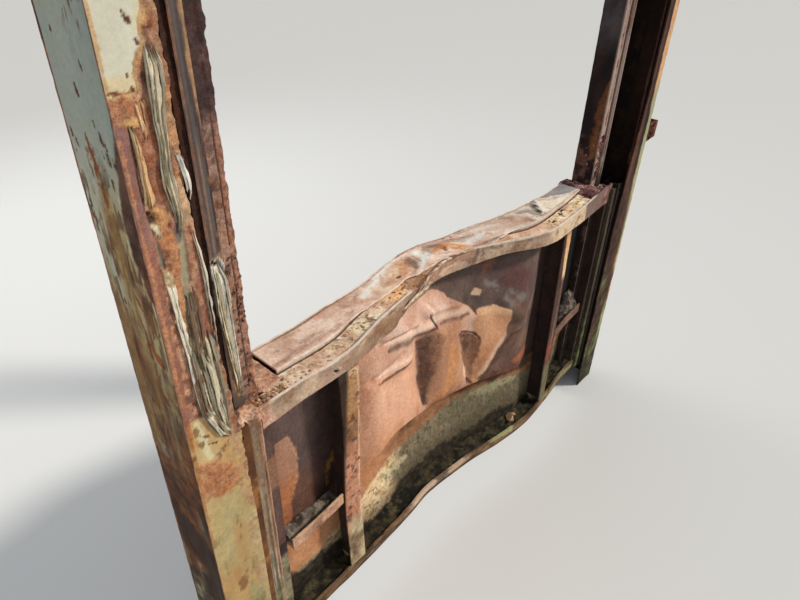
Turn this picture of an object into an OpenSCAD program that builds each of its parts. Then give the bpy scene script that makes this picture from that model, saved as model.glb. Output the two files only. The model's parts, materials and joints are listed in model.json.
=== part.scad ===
// Sluice gate: two grooved steel posts and a buckled lifting leaf.
// Built about the middle of the gate, then moved so that the left post's foot holds the origin.

/* [Frame] */
// Overall width across the outer faces of the posts
span = 3090; // [2900:10:3300]
// Height of the posts above the lowest water line
post_h = 3400; // [3300:50:3800]
// Depth of each post, downstream to upstream face
post_d = 250; // [240:1:260]
// Plate thickness of the posts and guides
plate_t = 10; // [8:0.5:12]
// Width of a whole post flange
flange_w = 180; // [170:1:190]
// How far rust has eaten back the top of the left front flange
rust_left = 38; // [10:1:60]
// How far rust has eaten back the top of the right front flange
rust_right = 58; // [10:1:60]
// Distance from the middle of the gate to the guide's waterway face
guide_x = 1212; // [1205:1:1230]
// Downstream face of the guide channel, from the post's front face
guide_y = 135; // [130:1:145]
// Width of the wear strip on the guide
strip_w = 42; // [35:1:60]
// Thickness of the wear strip
strip_t = 8; // [5:0.5:10]
// Upstream offset of the bar on the inside of each web
liner_y = 56; // [50:1:60]
// Width of that bar
liner_w = 80; // [60:1:84]
// Thickness of that bar
liner_t = 14; // [8:1:20]
// Where that bar ends above the leaf
liner_low = 1620; // [1500:10:1700]
// Distance from the right post to the side wall
wall_gap = 210; // [180:5:240]
// Height of the cleat that reaches to the wall
cleat_z = 1750; // [1650:10:1900]
// Height of the head beam between the posts
head_h = 160; // [120:5:200]
// Depth of the head beam
head_d = 130; // [100:5:160]

/* [Leaf] */
// Top edge of the leaf above the water line
leaf_top = 1574; // [1500:2:1650]
// Lowest edge of the leaf above the water line
leaf_low = 200; // [190:5:260]
// Height of the strip along the leaf's lower edge
strip_h = 66; // [50:1:80]
// Thickness of that strip
foot_t = 11; // [8:1:14]
// Downstream face of the leaf's beams, from the post's front face
leaf_y = 45; // [40:1:50]
// Distance from the downstream face to the skin plate
leaf_d = 105; // [95:1:115]
// Plate thickness of beams and skin
skin_t = 8; // [6:0.5:10]
// Height of the top beam's downstream face
beam_h = 115; // [100:1:130]
// Distance from the beam's top lip down to its web
beam_sink = 22; // [15:1:30]
// Half length of the top beam
beam_x = 1300; // [1280:5:1310]
// Half length of the skin plate between the guides
skin_x = 1190; // [1100:5:1195]
// Depth of the top beam's ends, which pass in front of the guides
end_d = 70; // [60:1:74]
// Half length of the cover band behind the top beam
cover_x = 1100; // [1000:5:1180]
// Width of the cover band
cover_w = 150; // [120:1:160]
// Depth of the cover band's bent edges
cover_drop = 64; // [40:1:80]
// Upper face of the shelves at mid height
mid_z = 730; // [650:5:800]
// Height of the shelves' front lip
shelf_lip = 60; // [40:1:80]
// Depth of the tongue that runs in the groove
tongue_d = 92; // [80:1:96]
// Width of the timber strip at each end of the leaf
seal_w = 30; // [20:1:34]
// Depth of that strip
seal_d = 84; // [60:1:90]
// Step of the end uprights in front of the guides
end_step = 50; // [30:1:60]
// Reach of the tongue past the beam end
tongue_w = 110; // [90:1:140]
// Position of the left rib
rib_left_x = -838; // [-860:2:-780]
// Position of the right rib
rib_right_x = 738; // [680:2:760]
// Width of the ribs' downstream face
rib_w = 70; // [50:1:80]
// How far the foot of each rib leans outwards
rib_lean = 35; // [0:1:40]

/* [Damage] */
// Scale of the whole buckle, where 1 is as found
buckle = 1; // [0.3:0.05:1.05]
// Depth of the bulge in the middle panel
bulge = 84; // [40:1:92]
// Depth of the creases in the middle panel
crease = 30; // [0:1:34]

// Where the torn strip hangs free, from the middle of the gate
torn_from = -330; // [-400:5:-260]
// Where the torn strip is still held by the beam's lip
torn_to = 80; // [40:5:120]
// Width of the torn strip
torn_w = 30; // [20:1:40]
// Drop of the torn strip's free end
torn_drop = 96; // [40:2:110]

/* [Hidden] */
half = span / 2;
mid_front = [[-1500, 0], [-1100, 5], [-840, 6], [-612, 60], [-317, 112], [-100, 165],
    [60, 140], [243, 66], [513, -42], [853, -34], [1183, -4], [1500, 0]];
mid_back = [[-1500, 0], [-1067, 10], [-897, 14], [-547, 40], [-177, 90], [93, 64],
    [483, -20], [843, -40], [1123, -34], [1500, -10]];
mid_waist = [[-1500, 0], [-1100, 8], [-817, 30], [-430, 74], [-130, 66], [200, 34], [430, -14],
    [720, -50], [1050, -20], [1500, 0]];
mid_foot = [[-1500, 0], [-840, 4], [-422, 24], [-270, 42], [-149, 36], [102, 8], [340, -36],
    [581, -60], [852, -42], [1100, -12], [1500, 0]];
fold_at = [[-1200, 640], [-820, 640], [-570, 750], [-435, 770], [0, 735], [250, 690], [650, 620],
    [1200, 600]];
guide_h = post_h - head_h - 40;

steel_pale = [0.80, 0.77, 0.70];
rust = [0.45, 0.27, 0.19];
rust_dark = [0.32, 0.17, 0.14];
rust_pink = [0.58, 0.42, 0.34];
grey = [0.55, 0.54, 0.50];
timber = [0.50, 0.45, 0.38];

// Smooth curve through a list of stations
function seg(t, x, i = 0) = i >= len(t) - 2 || x < t[i + 1][0] ? i : seg(t, x, i + 1);
function slope(t, i) = i <= 0 || i >= len(t) - 1 ? 0
    : (t[i + 1][1] - t[i - 1][1]) / (t[i + 1][0] - t[i - 1][0]);
function curve(t, x) = let (
    i = seg(t, x), d = t[i + 1][0] - t[i][0], u = min(1, max(0, (x - t[i][0]) / d)))
    (2 * pow(u, 3) - 3 * pow(u, 2) + 1) * t[i][1]
    + (pow(u, 3) - 2 * pow(u, 2) + u) * d * slope(t, i)
    + (3 * pow(u, 2) - 2 * pow(u, 3)) * t[i + 1][1]
    + (pow(u, 3) - pow(u, 2)) * d * slope(t, i + 1);

function bow_top(x) = buckle * curve(mid_front, x);
function bow_back(x) = buckle * curve(mid_back, x);
function bow_mid(x) = buckle * curve(mid_waist, x);
function bow_foot(x) = buckle * curve(mid_foot, x);
function fold_z(x) = mid_z - 730 + curve(fold_at, x);
function ease(t) = let (u = min(1, max(0, t))) u * u * (3 - 2 * u);
function bump(x, c, w) = exp(-pow((x - c) / w, 2));

// Resting line of the skin between foot, mid beam and top
function bow_skin(x, z) = z > mid_z
    ? bow_mid(x) + (bow_top(x) - bow_mid(x)) * ease((z - mid_z) / (leaf_top - 60 - mid_z))
    : bow_foot(x) + (bow_mid(x) - bow_foot(x)) * ease((z - leaf_low) / (mid_z - leaf_low));

// Crease along a line from a to b, fading away from it
function ridge(x, z, a, b, w) = let (
    v = b - a, l = norm(v), u = ((x - a[0]) * v[0] + (z - a[1]) * v[1]) / l,
    s = ((x - a[0]) * v[1] - (z - a[1]) * v[0]) / l)
    exp(-pow(s / w, 2)) * ease((u + w) / (2 * w)) * ease((l + w - u) / (2 * w));

// Bulge and creases of the middle panel, downstream positive
function dent(x, z) = let (
    side = ease((x - rib_left_x - 62) / 200) * ease((rib_right_x - 45 - x) / 260),
    up = ease((leaf_top - 120 - z) / 300),
    high = ease((leaf_top - 134 - z) / 70), fold = ease((z - fold_z(x) + 8) / 44)) buckle * (
    side * fold * (bulge * (0.35 + 0.65 * up) * ease((leaf_top - 60 - z) / 90)
        + high * crease * (
        ridge(x, z, [-534, 1384], [-254, 1323], 26) + ridge(x, z, [-200, 1318], [63, 1279], 26)
        - 0.9 * ridge(x, z, [-520, 1338], [-270, 1284], 24)
        - 0.6 * ridge(x, z, [-647, 1220], [-376, 1214], 22)
        - 1.2 * ridge(x, z, [-275, 1262], [-280, 900], 62)
        + 0.7 * ridge(x, z, [-110, 1230], [-150, 820], 60)
        - 1.2 * ridge(x, z, [105, 1130], [118, 800], 66)
        + 0.8 * ridge(x, z, [299, 1180], [466, 1067], 50)
        + 0.9 * ridge(x, z, [455, 1050], [180, 780], 46))));

function steps(a, b, n) = [for (i = [0 : n]) a + (b - a) * i / n];

// Stations along the leaf, shared by the plates that lie against each other
function along(limit) = concat([-limit],
    [for (x = steps(-skin_x, skin_x, 64)) if (abs(x) < limit - 4) x], [limit]);

// Closed solid through a row of equal rings, with the triangles of an end where corners line up
module sweep(rings, cap = undef) {
    n = len(rings[0]);
    m = len(rings);
    end = is_undef(cap) ? [[for (j = [0 : n - 1]) j]] : cap;
    polyhedron(
        points = [for (r = rings) for (p = r) p],
        faces = concat(
            [for (f = end) [for (j = [len(f) - 1 : -1 : 0]) f[j]]],
            [for (f = end) [for (j = f) (m - 1) * n + j]],
            [for (i = [0 : m - 2]) for (j = [0 : n - 1]) let (k = (j + 1) % n)
                each [[i * n + j, i * n + k, (i + 1) * n + j],
                    [i * n + k, (i + 1) * n + k, (i + 1) * n + j]]]),
        convexity = 10);
}

// Moves from the middle of the gate to the left post's foot
module placed() { translate([half - plate_t / 2, -post_d / 2, 0]) children(); }
module right_side() { mirror([1, 0, 0]) children(); }

module post_web() {
    placed() translate([-half, plate_t, 0]) cube([plate_t, post_d - 2 * plate_t, post_h]);
}

// Front flange with its inner edge eaten away towards the top
module front_flange(loss, seed) {
    n = 36;
    noise = rands(-1, 1, n + 1, seed);
    edge = [for (i = [n : -1 : 0]) let (z = post_h * i / n)
        [-half + flange_w - loss * ease((z - 1300) / 900)
            - 7 * (i > 0 && i < n && z > 1200 ? 1 + noise[i] : 0), z]];
    placed() translate([0, plate_t, 0]) rotate([90, 0, 0]) linear_extrude(plate_t)
        polygon(concat([[-half, 0], [-half, post_h]], edge));
}

module back_flange() {
    placed() translate([-half, post_d - plate_t, 0]) cube([flange_w, plate_t, post_h]);
}

// Channel that faces the waterway, lapped onto the back flange
module guide_channel() {
    lap = 80;
    placed() linear_extrude(guide_h) polygon([
        [-half + flange_w - lap, post_d], [-guide_x - plate_t, post_d],
        [-guide_x - plate_t, guide_y + plate_t], [-half + flange_w + 35, guide_y + plate_t],
        [-half + flange_w + 35, guide_y], [-guide_x, guide_y],
        [-guide_x, post_d + plate_t], [-half + flange_w - lap, post_d + plate_t]]);
}

module guide_strip() {
    placed() translate([-guide_x - 55 - strip_w, guide_y - strip_t, 0])
        cube([strip_w, strip_t, guide_h]);
}

// Bar on the inside of the web, ending just above the leaf
module groove_liner() {
    placed() translate([-half + plate_t, liner_y, liner_low])
        cube([liner_t, liner_w, post_h - head_h - 60 - liner_low]);
}

module left_groove_liner() { color(rust_dark) groove_liner(); }
module right_groove_liner() { color(rust_dark) mirrored() groove_liner(); }
module left_post_web() { color(steel_pale) post_web(); }
module left_post_front_flange() { color(rust) front_flange(rust_left, 4); }
module left_post_back_flange() { color(rust_dark) back_flange(); }
module left_guide_channel() { color(rust_dark) guide_channel(); }
module left_guide_strip() { color(grey) guide_strip(); }
module mirrored() {
    translate([half - plate_t / 2, 0, 0]) mirror([1, 0, 0])
        translate([-(half - plate_t / 2), 0, 0]) children();
}
module right_post_web() { color(steel_pale) mirrored() post_web(); }
module right_post_front_flange() { color(rust) mirrored() front_flange(rust_right, 9); }
module right_post_back_flange() { color(rust_dark) mirrored() back_flange(); }
module right_guide_channel() { color(rust_dark) mirrored() guide_channel(); }
module right_guide_strip() { color(grey) mirrored() guide_strip(); }

// Cleat from the right post to the side wall
module right_wall_cleat() {
    color(rust_dark) placed() translate([half, 30, cleat_z]) difference() {
        union() {
            cube([wall_gap, 8, 100]);
            translate([wall_gap - 8, 8, 0]) cube([8, 72, 100]);
        }
        translate([wall_gap - 9, 48, 50]) rotate([0, 90, 0]) cylinder(h = 10, r = 9, $fn = 24);
    }
}

// Cross beam that ties the tops of the posts
module head_beam() {
    color(rust_dark) placed() translate([-half + plate_t, 70, post_h - head_h])
        rotate([90, 0, 90]) linear_extrude(span - 2 * plate_t) polygon([
            [0, 0], [head_d, 0], [head_d, plate_t], [plate_t, plate_t],
            [plate_t, head_h - plate_t], [head_d, head_h - plate_t], [head_d, head_h],
            [0, head_h]]);
}

hat_end = [[0, 1, 6], [0, 6, 7], [1, 2, 5], [1, 5, 6], [2, 3, 4], [2, 4, 5]];
tee_end = [[1, 2, 3], [0, 1, 3], [0, 3, 6], [0, 6, 7], [3, 4, 5], [3, 5, 6]];
lip_end = [[1, 2, 3], [1, 3, 6], [0, 1, 6], [0, 6, 7], [3, 4, 5], [3, 5, 6]];

// Height torn off the beam's lip
function lip_loss(x) = (beam_sink - 4) * ease((x - torn_from + 60) / 80)
    * ease((torn_to + 20 - x) / 60);

module top_beam() {
    t = skin_t;
    z = leaf_top;
    w = z - beam_sink;
    xs = concat(steps(-beam_x, -skin_x - 8, 3), along(skin_x), steps(skin_x + 8, beam_x, 3));
    color(rust_pink) placed() sweep([for (x = xs) let (
        y = leaf_y + bow_top(x), b = y + (abs(x) > skin_x ? end_d : leaf_d - 0.5), c = z - lip_loss(x)) [
        [x, y, z - beam_h], [x, y, c], [x, y + t, c], [x, y + t, w],
        [x, b, w], [x, b, w - t], [x, y + t, w - t], [x, y + t, z - beam_h]]], lip_end);
}

// Rise and fall of the cover band along the gate
function wave(x) = buckle * (-9 * bump(x, 150, 90) - 7 * bump(x, -420, 130)
    - 6 * bump(x, 900, 70) + 3 * bump(x, 500, 200));

module top_cover() {
    t = skin_t;
    d = cover_drop;
    color(rust_pink) placed() sweep([for (x = along(cover_x)) let (
        a = leaf_y + leaf_d + t + 0.5 + bow_top(x), b = a + cover_w + bow_back(x) - bow_top(x),
        z = leaf_top - 3 + wave(x), e = z + 0.6 * wave(x + 60)) [
        [x, a, z - d], [x, a, z], [x, b, e], [x, b, e - d], [x, b - t, e - d],
        [x, b - t, e - t], [x, a + t, z - t], [x, a + t, z - d]]], hat_end);
}

// Torn edge that twists down off the top beam
module torn_strip() {
    t = 5;
    color(rust_pink) placed() sweep([for (i = [0 : 32]) let (
        u = i / 32, x = torn_to + (torn_from - torn_to) * u, a = 80 * ease(u * 1.3),
        y = leaf_y + bow_top(x) - 0.5 - 16 * ease(u * 2), w = torn_w * (1 - 0.5 * ease(u * 4 - 3)),
        z = leaf_top - torn_w + 8 - torn_drop * u * u) [
        [x, y, z], [x, y - w * sin(a), z + w * cos(a)],
        [x, y - w * sin(a) - t * cos(a), z + w * cos(a) - t * sin(a)],
        [x, y - t * cos(a), z - t * sin(a)]]]);
}

module skin_plate() {
    top = leaf_top - beam_sink;
    xs = along(skin_x);
    low = leaf_low + strip_h - 31;
    // rows of the grid follow the fold, so that it stays sharp
    below = [0, 0.16, 0.32, 0.48, 0.64, 0.8, 0.92];
    above = steps(0, 1, 22);
    function row(x, j) = let (f = fold_z(x)) j < len(below)
        ? low + (f - 12 - low) * below[j] : j < len(below) + 4
        ? f - 10 + 13 * (j - len(below)) : f + 45 + (top - f - 45) * above[j - len(below) - 4];
    rows = len(below) + 4 + len(above);
    function y_at(x, z) = leaf_y + leaf_d + bow_skin(x, z) - dent(x, z);
    front = [for (j = [0 : rows - 1]) for (x = xs) let (z = row(x, j)) [x, y_at(x, z), z]];
    back = [for (p = front) p + [0, skin_t, 0]];
    n = len(xs);
    m = rows;
    k = n * m;
    color(rust) placed() polyhedron(
        points = concat(front, back),
        faces = concat(
            [for (j = [0 : m - 2]) for (i = [0 : n - 2]) let (p = j * n + i)
                each [[p, p + n, p + 1], [p + 1, p + n, p + n + 1]]],
            [for (j = [0 : m - 2]) for (i = [0 : n - 2]) let (p = k + j * n + i)
                each [[p, p + 1, p + n], [p + 1, p + n + 1, p + n]]],
            [for (i = [0 : n - 2]) each [[i, i + 1, k + i], [i + 1, k + i + 1, k + i]]],
            [for (i = [0 : n - 2]) let (p = (m - 1) * n + i)
                each [[p, k + p, p + 1], [p + 1, k + p, k + p + 1]]],
            [for (j = [0 : m - 2]) let (p = j * n)
                each [[p, k + p, p + n], [p + n, k + p, k + p + n]]],
            [for (j = [0 : m - 2]) let (p = j * n + n - 1)
                each [[p, p + n, k + p], [p + n, k + p + n, k + p]]]),
        convexity = 10);
}

// Upright T bar between the beams and the skin
module rib(x0) {
    t = skin_t;
    top = leaf_top - beam_h - 0.5;
    low = leaf_low + strip_h + 0.5;
    color(rust) placed() sweep([for (z = steps(top, low, 30)) let (
        h = rib_w / 2, x = x0 + sign(x0) * rib_lean * (top - z) / (top - low),
        y = leaf_y + bow_skin(x, z)) [
        [x - h, y, z], [x + h, y, z], [x + h, y + t, z], [x + t / 2, y + t, z],
        [x + t / 2, y + leaf_d - 1, z], [x - t / 2, y + leaf_d - 1, z],
        [x - t / 2, y + t, z], [x - h, y + t, z]]], tee_end);
}
module left_rib() { rib(rib_left_x); }
module right_rib() { rib(rib_right_x); }

// Lipped shelf at mid height; the middle bay has lost its own
module shelf(from, to) {
    t = skin_t;
    color(rust_dark) placed() sweep([for (x = steps(from, to, 8))
        let (y = leaf_y + 8 + bow_mid(x), b = leaf_y + leaf_d - 1 + bow_mid(x), z = mid_z - t)
        [[x, y, z], [x, y, z + shelf_lip], [x, y + t, z + shelf_lip], [x, y + t, z + t],
        [x, b, z + t], [x, b, z]]]);
}
module left_shelf() { shelf(-skin_x, rib_left_x - 0.65 * rib_lean - rib_w / 2 - 1); }
module right_shelf() { shelf(rib_right_x + 0.65 * rib_lean + rib_w / 2 + 1, skin_x); }

// Trough along the foot of the leaf
module bottom_beam() {
    t = skin_t;
    z = leaf_low + strip_h - 31;
    color(rust_dark) placed() sweep([for (x = along(skin_x))
        let (y = leaf_y + foot_t + bow_foot(x), b = leaf_y + leaf_d + bow_foot(x) + t)
        [[x, y, z - t], [x, y, z], [x, b, z], [x, b, z - t]]]);
}

module bottom_strip() {
    color(rust) placed() sweep([for (x = concat([-beam_x, -skin_x - 8], along(skin_x), [skin_x + 8, beam_x]))
        let (y = leaf_y + bow_foot(x)) [
        [x, y, leaf_low], [x, y, leaf_low + strip_h], [x, y + foot_t, leaf_low + strip_h],
        [x, y + foot_t, leaf_low]]]);
}

// Pressed upright that closes the leaf's end and steps forward of the guide
module end_plate() {
    t = skin_t;
    y = leaf_y;
    a = -beam_x + end_step;
    b = end_d - 8 - t;
    low = leaf_low + strip_h;
    placed() translate([0, 0, low]) linear_extrude(leaf_top - beam_h - low)
        polygon([[-beam_x, y], [a, y], [a, y + b], [-skin_x, y + b],
            [-skin_x, y + leaf_d], [-skin_x - t, y + leaf_d], [-skin_x - t, y + b + t],
            [a - t, y + b + t], [a - t, y + t], [-beam_x, y + t]]);
}
module left_end_plate() { color(rust) end_plate(); }
module right_end_plate() { color(rust) mirrored() end_plate(); }

module seal_timber() {
    placed() translate([-beam_x - seal_w, 25, leaf_low])
        cube([seal_w, seal_d, leaf_top - leaf_low - 30]);
}
module left_seal_timber() { color(timber) seal_timber(); }
module right_seal_timber() { color(timber) mirrored() seal_timber(); }

module tongue() {
    t = 8;
    h = leaf_top - leaf_low - 8;
    placed() translate([-beam_x - seal_w - tongue_w, 20, leaf_low]) difference() {
        cube([tongue_w, tongue_d, h]);
        translate([-1, t, -1]) cube([tongue_w - t + 1, tongue_d - 2 * t, h + 2]);
        translate([tongue_w - 34, -1, h - 40]) rotate([-90, 0, 0])
            cylinder(h = t + 2, r = 9, $fn = 24);
    }
}
module left_tongue() { color(rust) tongue(); }
module right_tongue() { color(rust) mirrored() tongue(); }

left_post_web();
left_post_front_flange();
left_post_back_flange();
left_guide_channel();
left_guide_strip();
right_post_web();
right_post_front_flange();
right_post_back_flange();
right_guide_channel();
right_guide_strip();
left_groove_liner();
right_groove_liner();
right_wall_cleat();
head_beam();
top_beam();
top_cover();
torn_strip();
skin_plate();
left_rib();
right_rib();
left_shelf();
right_shelf();
bottom_beam();
bottom_strip();
left_end_plate();
right_end_plate();
left_seal_timber();
right_seal_timber();
left_tongue();
right_tongue();
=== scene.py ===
import json
import math
import bpy
import numpy as np
from mathutils import Vector, Matrix


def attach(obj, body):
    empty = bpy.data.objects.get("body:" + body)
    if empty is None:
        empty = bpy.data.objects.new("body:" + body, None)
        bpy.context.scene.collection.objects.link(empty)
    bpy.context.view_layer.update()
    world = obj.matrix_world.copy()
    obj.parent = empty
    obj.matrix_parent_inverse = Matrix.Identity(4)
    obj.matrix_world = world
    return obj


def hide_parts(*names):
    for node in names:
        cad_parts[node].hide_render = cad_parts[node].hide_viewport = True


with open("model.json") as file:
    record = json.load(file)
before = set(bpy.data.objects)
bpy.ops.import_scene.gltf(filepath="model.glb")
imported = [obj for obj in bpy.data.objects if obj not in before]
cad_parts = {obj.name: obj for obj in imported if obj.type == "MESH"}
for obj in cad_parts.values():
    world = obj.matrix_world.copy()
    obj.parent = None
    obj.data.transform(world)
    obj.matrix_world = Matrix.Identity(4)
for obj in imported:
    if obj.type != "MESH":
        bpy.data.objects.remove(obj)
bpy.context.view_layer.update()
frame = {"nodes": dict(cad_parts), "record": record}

# Shapes are worked out about the middle of the gate: x along it, y upstream from the
# posts' front faces, z up from the water line, then moved into the shared frame.
MID, DY = 1.540, -.125
HALF, POST_H, POST_D, PLATE, FLANGE = 1.545, 3.400, .250, .010, .180
GUIDE_X, GUIDE_Y, GUIDE_H = 1.212, .135, 3.200
LEAF_TOP, LEAF_LOW, LEAF_Y, LEAF_D = 1.574, .200, .045, .105
SKIN_X, BEAM_X, BEAM_H, SINK, T = 1.190, 1.300, .115, .022, .008
COVER_X, COVER_W, COVER_DROP = 1.100, .150, .064
MID_Z, LIP, STRIP_H, FOOT_T = .730, .060, .066, .011
RIB_L, RIB_R, LEAN, RIB_W = -.838, .738, .035, .070
BULGE, CREASE = .084, .030
TORN_A, TORN_B = -.330, .080
HAIR = 0.0005                       # joint that keeps neighbours from sharing a face
SEEN_LOW, SEEN_HIGH = 1.30, 2.90    # stretch of the posts that stands near the camera
TROUGH_Z = LEAF_LOW + STRIP_H - .031
END_TOP, END_EDGE = 1.534, 1.262    # left end upright: its top, and the beam's face over it
HEAP_LOW = LEAF_TOP - SINK - HAIR   # underside of what lies loose in the top trough
TIMBER_OUT, TIMBER_IN, TIMBER_BACK = -1.330, -1.292, .109
SKIN_ROWS, BACK_ROWS = 190, (24, 22, 8)

FRONT = [[-1500, 0], [-1100, 5], [-840, 6], [-612, 60], [-317, 112], [-100, 165],
         [60, 140], [243, 66], [513, -42], [853, -34], [1183, -4], [1500, 0]]
BACK = [[-1500, 0], [-1067, 10], [-897, 14], [-547, 40], [-177, 90], [93, 64],
        [483, -20], [843, -40], [1123, -34], [1500, -10]]
WAIST = [[-1500, 0], [-1100, 8], [-817, 30], [-430, 74], [-130, 66], [200, 34], [430, -14],
         [720, -50], [1050, -20], [1500, 0]]
FOOT = [[-1500, 0], [-840, 4], [-422, 24], [-270, 42], [-149, 36], [102, 8], [340, -36],
        [581, -60], [852, -42], [1100, -12], [1500, 0]]
LOWER = [[-1300, 1476], [-1100, 1484], [-900, 1490], [-810, 1483], [-686, 1471], [-564, 1460], [-500, 1463],
         [-464, 1498], [-414, 1514], [-360, 1520], [-281, 1522], [-220, 1510], [-167, 1492], [-65, 1481],
         [90, 1483], [210, 1499], [330, 1504], [460, 1496], [590, 1486], [720, 1484], [950, 1472],
         [1100, 1464], [1300, 1459]]
FOLD = [[-1200, 640], [-820, 640], [-570, 750], [-435, 770], [0, 735], [250, 690],
        [650, 620], [1200, 600]]


def curve(table, x):
    """Smooth curve through stations in mm, x and result in metres."""
    t = np.array(table, float) / 1000.0
    x = np.asarray(x, float)
    i = np.clip(np.searchsorted(t[:, 0], x, side="right") - 1, 0, len(t) - 2)
    s = np.zeros(len(t))
    s[1:-1] = (t[2:, 1] - t[:-2, 1]) / (t[2:, 0] - t[:-2, 0])
    d = t[i + 1, 0] - t[i, 0]
    u = np.clip((x - t[i, 0]) / d, 0, 1)
    return ((2 * u**3 - 3 * u**2 + 1) * t[i, 1] + (u**3 - 2 * u**2 + u) * d * s[i]
            + (3 * u**2 - 2 * u**3) * t[i + 1, 1] + (u**3 - u**2) * d * s[i + 1])


def ease(t):
    u = np.clip(t, 0, 1)
    return u * u * (3 - 2 * u)


def bump(x, c, w):
    return np.exp(-((x - c) / w) ** 2)


def bow_top(x): return curve(FRONT, x)
def bow_back(x): return curve(BACK, x)
def bow_mid(x): return curve(WAIST, x)
def bow_foot(x): return curve(FOOT, x)
def fold_z(x): return curve(FOLD, x)
def beam_low(x): return curve(LOWER, x)


def bow_skin(x, z):
    """Bow of the skin at a height, between those of the three beams."""
    up = bow_mid(x) + (bow_top(x) - bow_mid(x)) * ease((z - MID_Z) / (LEAF_TOP - .06 - MID_Z))
    dn = bow_foot(x) + (bow_mid(x) - bow_foot(x)) * ease((z - LEAF_LOW) / (MID_Z - LEAF_LOW))
    return np.where(z > MID_Z, up, dn)


def ridge(x, z, a, b, w):
    """Soft ridge of height 1 and half width w from a to b, in mm."""
    a, b, w = np.array(a) / 1000.0, np.array(b) / 1000.0, w / 1000.0
    v = b - a
    l = np.hypot(*v)
    u = ((x - a[0]) * v[0] + (z - a[1]) * v[1]) / l
    s = ((x - a[0]) * v[1] - (z - a[1]) * v[0]) / l
    return np.exp(-(s / w) ** 2) * ease((u + w) / (2 * w)) * ease((l + w - u) / (2 * w))


def creases(x, z):
    """Ridges above 0 and hollows below 0 of the middle panel."""
    return (ridge(x, z, [-534, 1384], [-254, 1323], 26) + ridge(x, z, [-200, 1318], [63, 1279], 26)
            - .9 * ridge(x, z, [-520, 1338], [-270, 1284], 24)
            - .6 * ridge(x, z, [-647, 1220], [-376, 1214], 22)
            - 1.2 * ridge(x, z, [-275, 1262], [-280, 900], 62)
            + .7 * ridge(x, z, [-110, 1230], [-150, 820], 60)
            - 1.2 * ridge(x, z, [105, 1130], [118, 800], 66)
            + .8 * ridge(x, z, [299, 1180], [466, 1067], 50)
            + .9 * ridge(x, z, [455, 1050], [180, 780], 46))


def dent(x, z):
    """How far the middle panel stands out towards the front."""
    side = ease((x - RIB_L - .062) / .200) * ease((RIB_R - .045 - x) / .260)
    up = ease((LEAF_TOP - .120 - z) / .300)
    high = ease((LEAF_TOP - .134 - z) / .070)
    fold = ease((z - fold_z(x) + .008) / .044)
    return side * fold * (BULGE * (.35 + .65 * up) * ease((LEAF_TOP - .060 - z) / .090)
                          + high * CREASE * creases(x, z))


def wave(x):
    """Rise and fall of the cover along the gate."""
    return (-.009 * bump(x, .150, .090) - .007 * bump(x, -.420, .130)
            - .006 * bump(x, .900, .070) + .003 * bump(x, .500, .200))


def lip_loss(x):
    """Depth to which the top beam's lip is gone."""
    return (SINK - .004) * ease((x - TORN_A + .060) / .080) * ease((TORN_B + .020 - x) / .060)


# Noise
def lattice(i, j, k, seed):
    h = (i * np.uint32(374761393) + j * np.uint32(668265263) + k * np.uint32(2246822519)
         + np.uint32(seed * 40503 & 0xffffffff))
    h = (h ^ (h >> np.uint32(13))) * np.uint32(1274126177)
    h = h ^ (h >> np.uint32(16))
    return (h & np.uint32(0xffff)).astype(float) / 32767.5 - 1


def smooth_noise(p, seed):
    """Value noise in -1..1 at each point."""
    f = np.floor(p)
    u = p - f
    u = u * u * (3 - 2 * u)
    i, j, k = (f[:, a].astype(np.int64).astype(np.uint32) for a in range(3))
    one = np.uint32(1)
    out = 0
    for a in (0, 1):
        wa = u[:, 0] if a else 1 - u[:, 0]
        for b in (0, 1):
            wb = u[:, 1] if b else 1 - u[:, 1]
            for c in (0, 1):
                wc = u[:, 2] if c else 1 - u[:, 2]
                out = out + wa * wb * wc * lattice(i + one * a, j + one * b, k + one * c, seed)
    return out


def fbm(p, scale, octaves=4, seed=0, stretch=(1, 1, 1)):
    """Fractal noise, mostly in -1..1."""
    q = np.asarray(p) * scale * np.array(stretch) + np.array([13.7, 5.1, 9.3]) * (1 + seed % 17)
    total, amp, norm = 0, 1.0, 0
    for o in range(octaves):
        total = total + amp * smooth_noise(q, seed + 31 * o)
        norm += amp
        amp *= .55
        q = q * 2.03 + 11.7
    return 1.9 * total / norm


# Meshes
def place(v):
    return np.asarray(v, float) + np.array([MID, DY, 0.0])


def quads_of(m, n):
    """Faces of a tube of m rings with n points each."""
    i, j = np.meshgrid(np.arange(m - 1), np.arange(n), indexing="ij")
    k = (j + 1) % n
    return np.stack([i * n + j, i * n + k, (i + 1) * n + k, (i + 1) * n + j], -1).reshape(-1, 4)


def normals(v, q):
    c = np.cross(v[q[:, 2]] - v[q[:, 0]], v[q[:, 3]] - v[q[:, 1]])
    n = np.zeros_like(v)
    for a in range(4):
        np.add.at(n, q[:, a], c)
    return n / np.maximum(np.linalg.norm(n, axis=1, keepdims=True), 1e-12)


def divide(corners, counts):
    """Points round a section, each side cut into its own count."""
    c = np.asarray(corners, float)
    return np.concatenate([a + (b - a) * (np.arange(k) / k)[:, None]
                           for a, b, k in zip(c, np.roll(c, -1, 0), counts)])


def rings_along(axis, corners, stations, cells):
    """Rings of a section that may change along the x or z axis."""
    ref = np.asarray(corners(stations[len(stations) // 2]), float)
    side = np.linalg.norm(np.roll(ref, -1, 0) - ref, axis=1)
    if np.isscalar(cells):
        cells = [cells] * len(ref)
    counts = [max(1, int(math.ceil(s / c))) for s, c in zip(side, cells)]
    out = []
    for w in stations:
        s = divide(corners(w), counts)
        col = np.full((len(s), 1), w)
        out.append(np.hstack([s, col]) if axis == "z" else np.hstack([col, s]))
    return np.array(out)


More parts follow.
